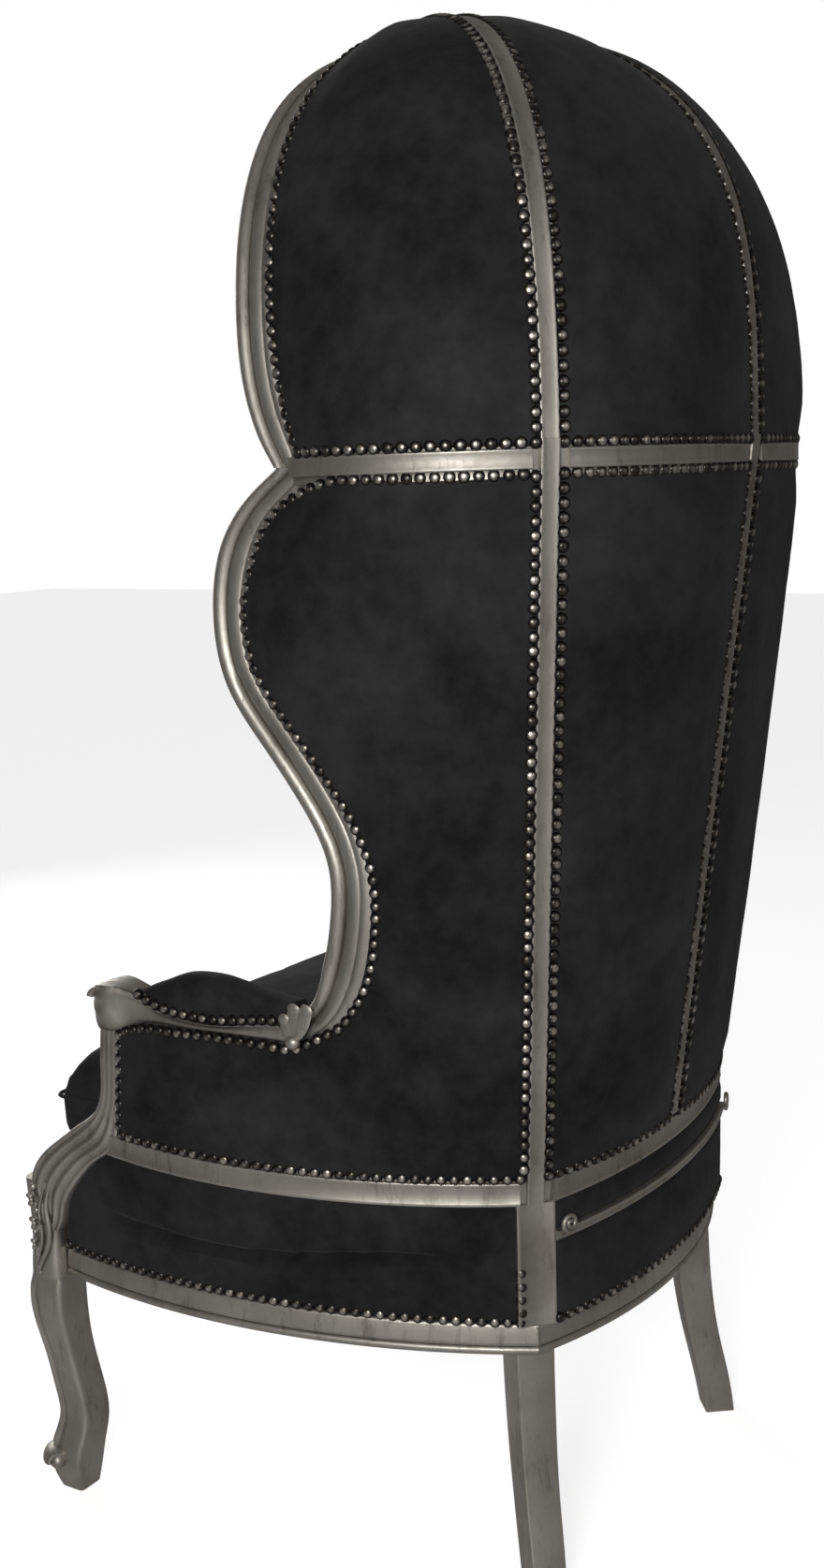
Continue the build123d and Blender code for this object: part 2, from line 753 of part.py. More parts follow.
strip_height = 10.0
strip_gap = 32.0
strip_proud = 5.0
strip_bottom = band_bottom - strip_gap - strip_height
with BuildPart() as rear_thin_strip:
    extrude(round_back(strip_bottom, band_depth, half=stump_width / 2, inset=-strip_proud),
            amount=strip_height)
rear_thin_strip.part.label = "rear_thin_strip"
finished["rear_thin_strip"] = rear_thin_strip


# Fabric panels between the bands, crowned outwards
bulge_shares = [0.2, 0.85, 1.0, 0.95, 0.2]
panel_half = rib_width / 2 + soft_gap
panel_heights = [band_top + soft_gap, arm_height, waist_height, ear_height,
                 hood_bottom - soft_gap]


def side_section(z, depth, extra, inset, half, lift):
    front_x, front_y, rise = side_front(z)
    return side_wall(z, (front_x, front_y), rise, depth, extra, inset, half, lift)


with BuildPart() as left_side_panel:
    loft([side_section(z, fabric_depth + fabric_rise, panel_bulge * share, 0, panel_half,
                       fabric_rise) for z, share in zip(panel_heights, bulge_shares)])
    for cutter in (wing_cutter, arm_cutter, support_cutter):
        add(cutter, mode=Mode.SUBTRACT)
    add(biggest(left_side_panel.part), mode=Mode.REPLACE)
left_side_panel.part.label = "left_side_panel"
finished["left_side_panel"] = left_side_panel

with BuildPart() as left_back_panel:
    loft([back_wall(z, back_rise(z), fabric_depth + fabric_rise, panel_bulge * share, 0,
                    panel_half, fabric_rise) for z, share in zip(panel_heights, bulge_shares)])
left_back_panel.part.label = "left_back_panel"
finished["left_back_panel"] = left_back_panel

apron_depth = fabric_inset - soft_gap
apron_half = stump_width / 2 + soft_gap
apron_bulge = 6.0
with BuildPart() as left_apron_panel:
    loft([side_wall(rail_top + soft_gap, rail_front, rail_side_rise, apron_depth, half=apron_half),
          side_wall(timber_top, rail_front, rail_side_rise, apron_depth, apron_bulge,
                    half=apron_half),
          side_wall(band_bottom - soft_gap, (band_front_x, band_front_y), band_side_rise,
                    apron_depth, half=apron_half)], ruled=True)
    add(support_cutter, mode=Mode.SUBTRACT)
    add(biggest(left_apron_panel.part), mode=Mode.REPLACE)
left_apron_panel.part.label = "left_apron_panel"
finished["left_apron_panel"] = left_apron_panel


def rear_apron(low, high, bulge):
    """A stretch of the rear fabric between two heights, crowned at its middle."""
    return [round_back(low, apron_depth, half=apron_half),
            round_back((low + high) / 2, apron_depth, half=apron_half, inset=-bulge),
            round_back(high, apron_depth, half=apron_half)]


rear_bulge = 4.0
with BuildPart() as rear_lower_apron:
    loft(rear_apron(rail_top + soft_gap, strip_bottom - soft_gap, rear_bulge), ruled=True)
rear_lower_apron.part.label = "rear_lower_apron"
finished["rear_lower_apron"] = rear_lower_apron

with BuildPart() as rear_upper_apron:
    loft(rear_apron(strip_bottom + strip_height + soft_gap, band_bottom - soft_gap, rear_bulge / 2),
         ruled=True)
rear_upper_apron.part.label = "rear_upper_apron"
finished["rear_upper_apron"] = rear_upper_apron


# Dome panels
with BuildPart() as left_front_dome_panel:
    loft(gore(post_meridian, arch_meridian, rear_angle, 90, gore_side, 0, front_feet(gore_side),
              fabric_depth + fabric_rise, -fabric_rise, -fabric_rise, dome_bulge,
              crown_radius - crown_inset, hood_top + soft_gap), ruled=True)
    add(arch_cutter, mode=Mode.SUBTRACT)
    add(crown_core.part, mode=Mode.SUBTRACT)
    add(biggest(left_front_dome_panel.part), mode=Mode.REPLACE)
left_front_dome_panel.part.label = "left_front_dome_panel"
finished["left_front_dome_panel"] = left_front_dome_panel

with BuildPart() as left_rear_dome_panel:
    loft(gore(back_meridian, post_meridian, 0, rear_angle, gore_side, -gore_side,
              rear_feet(gore_side), fabric_depth + fabric_rise, -fabric_rise, -fabric_rise,
              dome_bulge, crown_radius - crown_inset, hood_top + soft_gap), ruled=True)
    add(crown_core.part, mode=Mode.SUBTRACT)
    add(biggest(left_rear_dome_panel.part), mode=Mode.REPLACE)
left_rear_dome_panel.part.label = "left_rear_dome_panel"
finished["left_rear_dome_panel"] = left_rear_dome_panel


# Arm pad: a roll of upholstery on the rail, ending against the wing
arm_pad_x = 321.0
arm_pad_width = 42.0
arm_pad_length = 195.0
arm_pad_depth = 42.0
arm_pad_corner = 12.0
support_clear = 3.0
arm_pad_shares = [(-1.0, 0.02), (-0.93, 0.22), (-0.82, 0.5), (-0.68, 0.82), (-0.51, 0.93),
                  (-0.41, 0.92), (-0.2, 0.75), (0.1, 0.55)]

with BuildPart() as left_arm_pad:
    top = in_side_view(arm_pad_shares, joint_y, arm_rail_top, arm_pad_length, arm_pad_depth)
    for y, z in top:
        with BuildSketch(Plane.XZ.offset(-y)) as pad_section:
            with Locations((arm_pad_x, arm_rail_bottom)):
                Rectangle(arm_pad_width, z - arm_rail_bottom, align=(Align.CENTER, Align.MIN))
            fillet(pad_section.vertices().group_by(Axis.Z)[-1], arm_pad_corner)
    loft(ruled=True)
    for cutter in (arm_cutter, wing_cutter):
        add(cutter.moved(Location((0, 0, soft_gap))), mode=Mode.SUBTRACT)
    add(left_arm_pad.solids().sort_by(Axis.Z)[-1], mode=Mode.REPLACE)
left_arm_pad.part.label = "left_arm_pad"
finished["left_arm_pad"] = left_arm_pad


# Inner upholstery: side pads, back pad, and the two halves of the hood's lining
deck_top = timber_top + deck_depth
pad_bottom = deck_top + soft_gap
pad_top = hood_middle - soft_gap
pad_inset = rib_depth + soft_gap
pad_heights = [pad_bottom, band_bottom, arm_height, waist_height, ear_height, pad_top]

with BuildPart() as left_side_pad:
    loft([side_section(z, side_pad_depth, 0, pad_inset, soft_gap / 2, 0) for z in pad_heights],
         ruled=True)
    with Locations((arm_x, joint_y + arm_overlap + soft_gap, arm_rail_bottom - soft_gap)):
        Box(arm_x, arm_length * 2, arm_rail_top - arm_rail_bottom + soft_gap, mode=Mode.SUBTRACT,
            align=(Align.CENTER, Align.MAX, Align.MIN))
    with Locations((support_x - support_width / 2 - soft_gap, support_y + support_clear,
                    timber_top)):
        Box(arm_x, arm_length, arm_rail_top - timber_top, mode=Mode.SUBTRACT,
            align=(Align.MIN, Align.MAX, Align.MIN))
    add(wing_pad_cutter, mode=Mode.SUBTRACT)
    add(wing_clear, mode=Mode.SUBTRACT)
    add(post_solid(soft_gap), mode=Mode.SUBTRACT)
    add(biggest(left_side_pad.part), mode=Mode.REPLACE)
left_side_pad.part.label = "left_side_pad"
finished["left_side_pad"] = left_side_pad

with BuildPart() as inner_back_pad:
    loft([round_back(z, back_pad_depth, pad_inset, soft_gap / 2) for z in pad_heights],
         ruled=True)
    add(rib_solid(soft_gap), mode=Mode.SUBTRACT)
    add(post_solid(soft_gap), mode=Mode.SUBTRACT)
    mirror(post_solid(soft_gap), about=Plane.YZ, mode=Mode.SUBTRACT)
inner_back_pad.part.label = "inner_back_pad"
finished["inner_back_pad"] = inner_back_pad

lining_foot = hood_middle + soft_gap
lining_shapes = [sizes[:5] + (arch_crown,) for sizes in (back_meridian, post_meridian, arch_meridian)]
lining_inset = rib_depth + lining_gap
lining_end = 14.0
lining_facets = 9
lining_stations = [0.0, rear_angle / 2, rear_angle, (rear_angle + 90) / 2, 90.0]

with BuildPart() as left_hood_lining:
    back_feet = rear_feet(0)
    side_feet = front_feet(0)
    half = gore_count // 2
    feet = [back_feet[0], back_feet[half], back_feet[-1], side_feet[half], hood_front_x]
    back_shape, post_shape, arch_shape = lining_shapes
    meridians = [back_shape, mixed(back_shape, post_shape, 1 / 2), post_shape,
                 mixed(post_shape, arch_shape, 1 / 2), arch_shape]
    loft([meridian_face(sizes, foot, lining_depth, angle, soft_gap / 2 * cos(radians(angle)),
                        lining_inset, 0, lining_end, lining_foot, lining_facets)
          for sizes, foot, angle in zip(meridians, feet, lining_stations)], ruled=True)
    add(arch_pad_cutter, mode=Mode.SUBTRACT)
    band_clear = side_wall(hood_middle, (hood_front_x, hood_front_y), hood_side_rise,
                           band_depth + soft_gap)
    extrude(band_clear, amount=hood_band_height / 2 + soft_gap, mode=Mode.SUBTRACT)
    for neighbour in (arch_clear, post_solid(soft_gap), rib_solid(soft_gap),
                      dome_rib_solid(post_meridian, rear_angle, soft_gap),
                      dome_rib_solid(back_meridian, 0, soft_gap)):
        add(neighbour, mode=Mode.SUBTRACT)
    add(biggest(left_hood_lining.part), mode=Mode.REPLACE)
left_hood_lining.part.label = "left_hood_lining"
finished["left_hood_lining"] = left_hood_lining


# Seat: a board on the rails, a pad on the board, and a loose cushion on the pad
deck_clear = 6.0
deck_front_y = -355.0
deck_front_x = 283.0
deck_pad_depth = 20.0
cushion_depth = 108.0
cushion_front_x = 290.0
cushion_front_y = -385.0
cushion_step_y = -285.0
cushion_bow = 10.0
cushion_corner = 30.0
cushion_step_corner = 7.0


def seat_outline(z, front_x, front_y, step_y, bow, side_inset, back_inset, corner=0.0,
                 step_corner=0.0):
    """The seat in plan: a front part between the arm supports and a rear part within the walls."""
    side = Vector(band_front_x - side_inset, step_y)
    wall_front = Vector(band_front_x, band_front_y)
    wall_rear = on_rib(rear_angle, band_post_radius, 0)
    outward, top = bowed(wall_front, wall_rear, band_side_rise)[1:]
    middle = top - outward * side_inset
    rear = on_rib(rear_angle, band_post_radius - side_inset, 0)
    back = on_rib(rear_angle, band_post_radius - back_inset, 0)
    round_line = ThreePointArc(back, on_rib(0, band_back_radius - back_inset, 0),
                               (-back.X, back.Y))
    with BuildSketch(Plane.XY.offset(z)) as outline:
        with BuildLine():
            ThreePointArc((-front_x, front_y), (0, front_y - bow), (front_x, front_y))
            Polyline((front_x, front_y), (front_x, step_y), side)
            ThreePointArc(side, middle, rear)
            Polyline(rear, (0, hood_back_radius), (-rear.X, rear.Y))
            ThreePointArc((-rear.X, rear.Y), (-middle.X, middle.Y), (-side.X, side.Y))
            Polyline((-side.X, side.Y), (-front_x, step_y), (-front_x, front_y))
        make_face()
        with Locations(round_line.arc_center):
            Circle(round_line.radius, mode=Mode.INTERSECT)
        if corner:
            fillet(outline.vertices().sort_by(Axis.Y)[2:6], step_corner)
            fillet(outline.vertices().sort_by(Axis.Y)[:2], corner)
            fillet(outline.vertices().sort_by(Axis.Y)[-2:], corner)
    return outline.sketch


with BuildPart() as seat_deck:
    extrude(seat_outline(timber_top, deck_front_x, deck_front_y, cushion_step_y, cushion_bow,
                         rib_depth + deck_clear, rib_depth + deck_clear), amount=deck_depth)
seat_deck.part.label = "seat_deck"
finished["seat_deck"] = seat_deck

with BuildPart() as deck_pad:
    extrude(seat_outline(pad_bottom, deck_front_x, deck_front_y, cushion_step_y, cushion_bow,
                         pad_inset + side_pad_depth + cushion_gap,
                         pad_inset + back_pad_depth + cushion_gap), amount=deck_pad_depth)
deck_pad.part.label = "deck_pad"
finished["deck_pad"] = deck_pad

# height and inset of each level of the cushion, as shares of its depth and of the corner radius
cushion_shares = [(0.0, 0.5), (0.1, 0.15), (0.3, 0.0), (0.62, 0.0), (0.84, 0.2), (0.95, 0.6),
                  (1.0, 1.2)]
cushion_bottom = pad_bottom + deck_pad_depth + soft_gap
cushion_top = cushion_bottom + cushion_depth
crown_rise = 9.0
crown_reach = 190.0
crown_y = -90.0

with BuildPart() as seat_cushion:
    sections = []
    for height_share, inset_share in cushion_shares:
        inset = inset_share * cushion_corner
        sections.append(seat_outline(cushion_bottom + height_share * cushion_depth,
                                     cushion_front_x - inset, cushion_front_y + inset,
                                     cushion_step_y - inset, cushion_bow,
                                     pad_inset + side_pad_depth + cushion_gap + inset,
                                     pad_inset + back_pad_depth + cushion_gap + inset,
                                     cushion_corner * (1 - inset_share / 3),
                                     cushion_step_corner * (1 - inset_share / 3)))
    loft(sections, ruled=True)
    with BuildSketch(Plane.XZ.offset(-crown_y)):
        with BuildLine():
            Bezier((0, cushion_top + crown_rise), (crown_reach / 2, cushion_top + crown_rise),
                   (crown_reach, cushion_top))
            Polyline((crown_reach, cushion_top), (0, cushion_top), (0, cushion_top + crown_rise))
        make_face()
    revolve(axis=Axis((0, crown_y, 0), (0, 0, 1)))
seat_cushion.part.label = "seat_cushion"
finished["seat_cushion"] = seat_cushion


# Front apron and the glued corner blocks
with BuildPart() as front_apron_panel:
    loft([front_wall(rail_top + soft_gap, apron_depth),
          front_wall((rail_top + timber_top) / 2, apron_depth, inset=-apron_bulge / 2),
          front_wall(timber_top, apron_depth)], ruled=True)
    with Locations((0, front_plan_y, timber_top)):
        Box(front_side_x * 2 - soft_gap * 2, rail_depth * 2, timber_top, mode=Mode.INTERSECT)
front_apron_panel.part.label = "front_apron_panel"
finished["front_apron_panel"] = front_apron_panel

block_height = 66.0
block_reach = 82.0
rear_block_inner = 235.0
rear_block_width = 130.0

with BuildPart() as rear_left_corner_block:
    with BuildSketch(Plane(origin=(0, axis_y, rail_top), x_dir=direction(rear_angle))):
        with BuildLine():
            Polyline((rear_block_inner, -rear_block_width / 4),
                     (post_radius(rail_top) - rib_depth, -rear_block_width / 2),
                     (post_radius(rail_top) - rib_depth, rear_block_width / 2),
                     (rear_block_inner, rear_block_width / 4), close=True)
        make_face()
    extrude(amount=block_height)
    for rail in (left_seat_rail, rear_seat_rail):
        add(rail.part, mode=Mode.SUBTRACT)
    add(biggest(rear_left_corner_block.part), mode=Mode.REPLACE)
rear_left_corner_block.part.label = "rear_left_corner_block"
finished["rear_left_corner_block"] = rear_left_corner_block

with BuildPart() as front_left_corner_block:
    corner_x = front_side_x - rail_depth / 2
    corner_y = front_plan_y + rail_depth - front_bow
    with BuildSketch(Plane.XY.offset(rail_top)):
        with BuildLine():
            Polyline((corner_x, corner_y), (corner_x - block_reach, corner_y),
                     (corner_x, corner_y + block_reach), close=True)
        make_face()
    extrude(amount=block_height)
    for rail in (left_seat_rail, front_seat_rail, front_left_leg):
        add(rail.part, mode=Mode.SUBTRACT)
    add(biggest(front_left_corner_block.part), mode=Mode.REPLACE)
front_left_corner_block.part.label = "front_left_corner_block"
finished["front_left_corner_block"] = front_left_corner_block


# Right-hand twins, mirrored in the plane of symmetry
for name in [name for name in finished if "left" in name]:
    with BuildPart() as twin:
        mirror(finished[name].part, about=Plane.YZ)
    twin.part.label = name.replace("left", "right")
    finished[twin.part.label] = twin

for name, piece in finished.items():
    export_step(piece.part, "parts/" + name + ".step")
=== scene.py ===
import bpy
import bmesh
import math
import random
import numpy as np
from mathutils import Vector, Matrix, geometry, kdtree, noise


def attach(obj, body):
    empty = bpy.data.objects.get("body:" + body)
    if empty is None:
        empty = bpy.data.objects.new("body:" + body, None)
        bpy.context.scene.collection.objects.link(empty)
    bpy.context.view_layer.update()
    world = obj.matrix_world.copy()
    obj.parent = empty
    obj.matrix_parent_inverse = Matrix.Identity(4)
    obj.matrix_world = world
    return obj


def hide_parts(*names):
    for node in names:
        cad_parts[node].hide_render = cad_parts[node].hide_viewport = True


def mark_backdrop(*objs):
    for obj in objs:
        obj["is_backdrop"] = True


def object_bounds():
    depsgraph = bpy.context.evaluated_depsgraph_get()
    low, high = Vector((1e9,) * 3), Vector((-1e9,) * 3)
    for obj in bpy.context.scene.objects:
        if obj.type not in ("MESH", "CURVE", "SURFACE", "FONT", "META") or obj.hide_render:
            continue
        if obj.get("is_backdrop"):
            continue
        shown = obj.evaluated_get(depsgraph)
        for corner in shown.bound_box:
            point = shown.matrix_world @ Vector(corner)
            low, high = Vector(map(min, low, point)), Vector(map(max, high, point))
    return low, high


# Hall porter chair: silver-leaf show-wood, black velvet, close-set domed nails.
# Shapes are worked out in millimetres, as in the CAD, and turned into metres when a mesh is made.
# +Z is up, the sitter faces -Y, and x = 0 is the plane of symmetry.

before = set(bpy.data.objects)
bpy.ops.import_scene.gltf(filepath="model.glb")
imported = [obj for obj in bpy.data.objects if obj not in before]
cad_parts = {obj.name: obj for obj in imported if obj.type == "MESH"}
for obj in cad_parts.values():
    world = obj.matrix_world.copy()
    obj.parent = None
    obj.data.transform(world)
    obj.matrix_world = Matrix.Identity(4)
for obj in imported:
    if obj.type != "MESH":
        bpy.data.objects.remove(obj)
cadLow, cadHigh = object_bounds()
random.seed(4)
mm = 0.001

# Main sizes, as in the CAD
chair = {
    "railBottom": 278.0, "railTop": 314.0, "timberTop": 400.0, "bandBottom": 451.0, "bandTop": 481.0,
    "hoodBottom": 1197.0, "hoodMiddle": 1215.0, "hoodTop": 1233.0, "archCrown": 1657.0, "crownRadius": 62.0,
    "axisY": -15.0, "rearAngle": 41.9, "ribWidth": 36.0, "ribDepth": 36.0, "stumpWidth": 43.0,
    "postFoot": 351.0, "postHood": 443.0, "backFoot": 308.0, "backHood": 411.0,  # radii at band and hood
}
axis = np.array([0, chair["axisY"]])
rear = chair["rearAngle"]
hood = chair["hoodMiddle"]
band = chair["bandBottom"]
deckLow = 410.5  # where the inside upholstery starts
armLevel = 604.0  # top of the arm supports


# Curves
def smoothLine(points, count):
    p = np.array(points, float)
    t = np.concatenate([[0], np.cumsum(np.maximum(np.linalg.norm(np.diff(p, axis=0), axis=1), 1e-6))])
    n = len(p)
    h = np.diff(t)
    a = np.zeros((n, n))
    r = np.zeros((n, p.shape[1]))
    a[0, 0] = a[-1, -1] = 1
    for i in range(1, n - 1):
        a[i, i - 1], a[i, i], a[i, i + 1] = h[i - 1], 2 * (h[i - 1] + h[i]), h[i]
        r[i] = 6 * ((p[i + 1] - p[i]) / h[i] - (p[i] - p[i - 1]) / h[i - 1])
    m = np.linalg.solve(a, r)
    fine = np.linspace(t[0], t[-1], count * 8)
    k = np.clip(np.searchsorted(t, fine) - 1, 0, n - 2)
    u = (fine - t[k])[:, None]
    w = (t[k + 1] - fine)[:, None]
    hk = h[k][:, None]
    bent = (m[k] * w ** 3 + m[k + 1] * u ** 3) / (6 * hk)
    return evenly(bent + (p[k] / hk - m[k] * hk / 6) * w + (p[k + 1] / hk - m[k + 1] * hk / 6) * u, count)


# The length along a line up to each of its points
def runLength(line):
    return np.concatenate([[0], np.cumsum(np.linalg.norm(np.diff(line, axis=0), axis=1))])


# A line's points at places, where known gives the place of each of its own points
def pointsAt(places, known, line):
    return np.array([np.interp(places, known, line[:, i]) for i in range(line.shape[1])]).T


def valueAt(line, x, key=0, value=1):
    return float(np.interp(x, line[:, key], line[:, value]))


def evenly(line, count):
    line = np.array(line, float)
    d = runLength(line)
    return pointsAt(np.linspace(0, d[-1], count), d, line)


def lineLength(line):
    return float(np.linalg.norm(np.diff(np.array(line, float), axis=0), axis=1).sum())


def closeLoop(line):
    return np.vstack([line, line[:1]])


def bezier(points, count):
    p = [np.array(q, float) for q in points]
    t = np.linspace(0, 1, count)[:, None]
    return (1 - t) ** 3 * p[0] + 3 * (1 - t) ** 2 * t * p[1] + 3 * (1 - t) * t ** 2 * p[2] + t ** 3 * p[3]


# Points of the arc from a through b to c, in plan
def arcThrough(a, b, c, count):
    a, b, c = (np.array(q, float)[:2] for q in (a, b, c))
    d = 2 * (a[0] * (b[1] - c[1]) + b[0] * (c[1] - a[1]) + c[0] * (a[1] - b[1]))
    ux = ((a @ a) * (b[1] - c[1]) + (b @ b) * (c[1] - a[1]) + (c @ c) * (a[1] - b[1])) / d
    uy = ((a @ a) * (c[0] - b[0]) + (b @ b) * (a[0] - c[0]) + (c @ c) * (b[0] - a[0])) / d
    o = np.array([ux, uy])
    r = np.linalg.norm(a - o)
    turns = [math.atan2(*(q - o)[::-1]) for q in (a, b, c)]
    for i in (1, 2):  # each turn lies within half a circle of the one before
        while turns[i] - turns[i - 1] > math.pi:
            turns[i] -= 2 * math.pi
        while turns[i] - turns[i - 1] < -math.pi:
            turns[i] += 2 * math.pi
    w = np.linspace(turns[0], turns[2], count)
    return np.stack([o[0] + r * np.cos(w), o[1] + r * np.sin(w)], 1)


def tangents(line):
    t = np.gradient(np.array(line, float), axis=0)
    return t / np.maximum(np.linalg.norm(t, axis=1), 1e-9)[:, None]


def unit(v):
    v = np.array(v, float)
    return v / max(np.linalg.norm(v), 1e-9)


def mix(a, b, share):
    return a + (b - a) * share


def smoothStep(x):
    x = np.clip(x, 0, 1)
    return x * x * (3 - 2 * x)


# Rises softly from 0 to 1 as x goes from start over a width
def ease(x, start, width):
    return float(smoothStep((x - start) / width))


def bell(x, middle, width):
    return math.exp(-((x - middle) / width) ** 2)


# The chair's own geometry, as in the CAD
def direction(angle):
    return np.array([math.sin(math.radians(angle)), math.cos(math.radians(angle))])


def across(angle):
    return np.array([math.cos(math.radians(angle)), -math.sin(math.radians(angle))])


def onRib(angle, radius, sideways=0.0):
    return axis + direction(angle) * radius + across(angle) * sideways


# The way square to a line in plan that leads away from the hood's axis
def outward(point, tangent):
    out = np.array([tangent[1], -tangent[0]])
    return -out if out @ (np.array(point) - axis) < 0 else out


# How far up a height is from the rail's foot to the lower band, and from there to the hood
def belowBand(z):
    return (z - chair["railBottom"]) / (band - chair["railBottom"])


def overBand(z):
    return (z - band) / (hood - band)


def postRadius(z):
    if z < band:
        return mix(348.0, chair["postFoot"], belowBand(z))
    return mix(chair["postFoot"], chair["postHood"], overBand(z))


def backRadius(z):
    if z < band:
        return mix(307.0, chair["backFoot"], belowBand(z))
    return mix(chair["backFoot"], chair["backHood"], overBand(z))


def bowedTop(a, b, rise):
    a, b = np.array(a, float), np.array(b, float)
    middle = (a + b) / 2
    out = outward(middle, unit(b - a))
    return middle + out * rise, out


# Front end and bow of the side wall: (height, x, y, bow)
sideLevels = [(451, 337, -267, 50), (640, 337, -267, 50), (845, 346, -60, 36), (1080, 349, -60, 42),
              (1215, 345, 45, 41)]


def sideFront(z):
    if z < band:
        share = belowBand(z)
        return mix(325, 337, share), mix(-340, -267, share), mix(46, 50, share)
    for low, high in zip(sideLevels, sideLevels[1:]):
        if z <= high[0]:
            break
    share = (z - low[0]) / (high[0] - low[0])
    return tuple(mix(low[i], high[i], share) for i in (1, 2, 3))


# The left side wall's outer line in plan at a height, from the front to the rear post
def sideArc(z, inset=0.0, half=18.0, count=48, front=None):
    x, y, rise = front or sideFront(z)
    post = onRib(rear, postRadius(z), half)
    top, out = bowedTop((x, y), post, rise)
    return arcThrough(np.array([x - inset, y]), top - out * inset, post - direction(rear) * inset, count)


# The left half of the back, from the centre rib to the rear post
def backArc(z, half=18.0, count=40):
    post = onRib(rear, postRadius(z), -half)
    centre = onRib(0, backRadius(z), half)
    return arcThrough(centre, bowedTop(centre, post, mix(12, 21, overBand(z)))[0], post, count)


# The whole back in plan, from the left post to the right one
def roundArc(z, inset=0.0, half=18.0, count=80):
    left = onRib(rear, postRadius(z) - inset, -half)
    return arcThrough(left, onRib(0, backRadius(z) - inset), (-left[0], left[1]), count)


# Front edge of wing and arch from the side, and half their width from the front
wingEdge = [(-5 + y * 125, 640 + z * 575) for y, z in [
    (0.0, 0.0), (0.32, 0.037), (0.544, 0.11), (0.664, 0.209), (0.68, 0.304), (0.4, 0.433), (0.072, 0.529),
    (-0.224, 0.626), (-0.32, 0.73), (-0.248, 0.844), (0.04, 0.95), (0.328, 1.0), (0.568, 1.04)]]
archEdge = [(-5 + y * 125, hood + z * 442) for y, z in [
    (0.504, -0.113), (0.328, 0.0), (0.136, 0.124), (-0.032, 0.351), (-0.12, 0.577), (-0.152, 0.78),
    (-0.12, 0.962), (-0.088, 1.143)]]
archLine = smoothLine(archEdge, 400)
frontView = smoothLine([(x * 350, 640 + z * 575) for z, x in [
    (-0.04, 0.96), (0.1, 0.966), (0.37, 0.98), (0.65, 0.997), (0.8, 1.0), (1.06, 1.0)]], 60)
frontView = np.vstack([frontView, [350, 1700]])

# Lines of the dome: (radius at the foot, wall out and up, shoulder out and up, height of the crown)
archKind = (348.0, 0.0, 210.0, -72.0, 6.0, 1657.0)
postKind = (443.0, 6.0, 325.0, -118.0, 6.0, 1677.0)
backKind = (411.0, -4.0, 182.0, 20.0, -4.0, 1678.0)


# A line of the dome in an upright plane through the hood's axis: (radius, height) pairs
def meridian(kind, foot, inset=0.0, innerEnd=0.0, z=1233.0, count=40):
    radius, wallOut, wallUp, shoulderOut, shoulderUp, crown = kind
    foot, crown = foot - inset, crown - inset
    return bezier([(foot, z), (foot + wallOut, z + wallUp),
                   (foot + shoulderOut, crown + shoulderUp), (innerEnd, crown)], count)


def footOn(first, last, rise, angle, sideways):
    arc = arcThrough(first, bowedTop(first, last, rise)[0], last, 200)
    d = arc - (axis + across(angle) * sideways)
    return float(d[int(np.argmin(np.abs(d @ across(angle))))] @ direction(angle))


# Making meshes: a shape is a pair of points and faces
def makeMesh(name, shape, material, body="chair", sharp=50):
    mesh = bpy.data.meshes.new(name)
    points = [tuple(float(c) * mm for c in v) for v in shape[0]]
    mesh.from_pydata(points, [], [tuple(int(i) for i in f) for f in shape[1]])
    mesh.validate()
    obj = linked(name, mesh)
    obj.data.materials.append(material)
    finishShading(obj, sharp)
    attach(obj, body)
    return obj


def linked(name, data):
    obj = bpy.data.objects.new(name, data)
    bpy.context.scene.collection.objects.link(obj)
    return obj


def editMesh(obj, change):
    bm = bmesh.new()
    bm.from_mesh(obj.data)
    change(bm)
    bm.to_mesh(obj.data)
    bm.free()


# Faces out, smooth, with sharp edges where faces meet at more than an angle
def finishShading(obj, sharp=50):
    def shade(bm):
        bmesh.ops.recalc_face_normals(bm, faces=bm.faces)
        for face in bm.faces:
            face.smooth = True
        for edge in bm.edges:
            edge.smooth = not (len(edge.link_faces) == 2 and edge.calc_face_angle(0) > math.radians(sharp))
    editMesh(obj, shade)


def gridFaces(rows, cols, wrapCols=False, offset=0):
    faces = []
    for r in range(rows - 1):
        for c in range(cols if wrapCols else cols - 1):
            low, high, d = offset + r * cols, offset + (r + 1) * cols, (c + 1) % cols
            faces.append((low + c, low + d, high + d, high + c))
    return faces


# A skin over closed sections of equal length
def skin(sections, caps=True):
    rows, cols = len(sections), len(sections[0])
    faces = gridFaces(rows, cols, True)
    if caps:
        faces.append(tuple(range(cols))[::-1])
        faces.append(tuple((rows - 1) * cols + i for i in range(cols)))
    return [p for section in sections for p in section], faces


def joined(shapes):
    verts, faces = [], []
    for v, f in shapes:
        start = len(verts)
        verts += list(v)
        faces += [tuple(start + i for i in face) for face in f]
    return verts, faces


# Cloth has a thickness, laid inwards
def thicken(obj):
    solid = obj.modifiers.new("thickness", "SOLIDIFY")
    solid.thickness = 0.005
    solid.offset = -1


# A right-hand twin of a left-hand piece
def mirrored(obj, name):
    twin = linked(name, obj.data.copy())
    twin.data.transform(Matrix.Scale(-1, 4, (1, 0, 0)))
    twin.data.flip_normals()
    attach(twin, "chair")
    if obj.modifiers:
        thicken(twin)
    return twin


# Hides the CAD node that a piece stands for; a left-hand one gets its twin as well, and the twin's node is
# hidden too
def place(obj, slot, node=None, fill=None):
    pieces = [(obj, node)]
    if "left" in obj.name:
        twin = mirrored(obj, obj.name.replace("left", "right"))
        pieces.append((twin, node and node.replace("left", "right")))
    for piece, stands in pieces:
        if stands:
            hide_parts(stands)


def wood(name, shape, node=None, sharp=50):
    place(makeMesh(name, shape, silverLeaf, sharp=sharp), "show_wood", node)


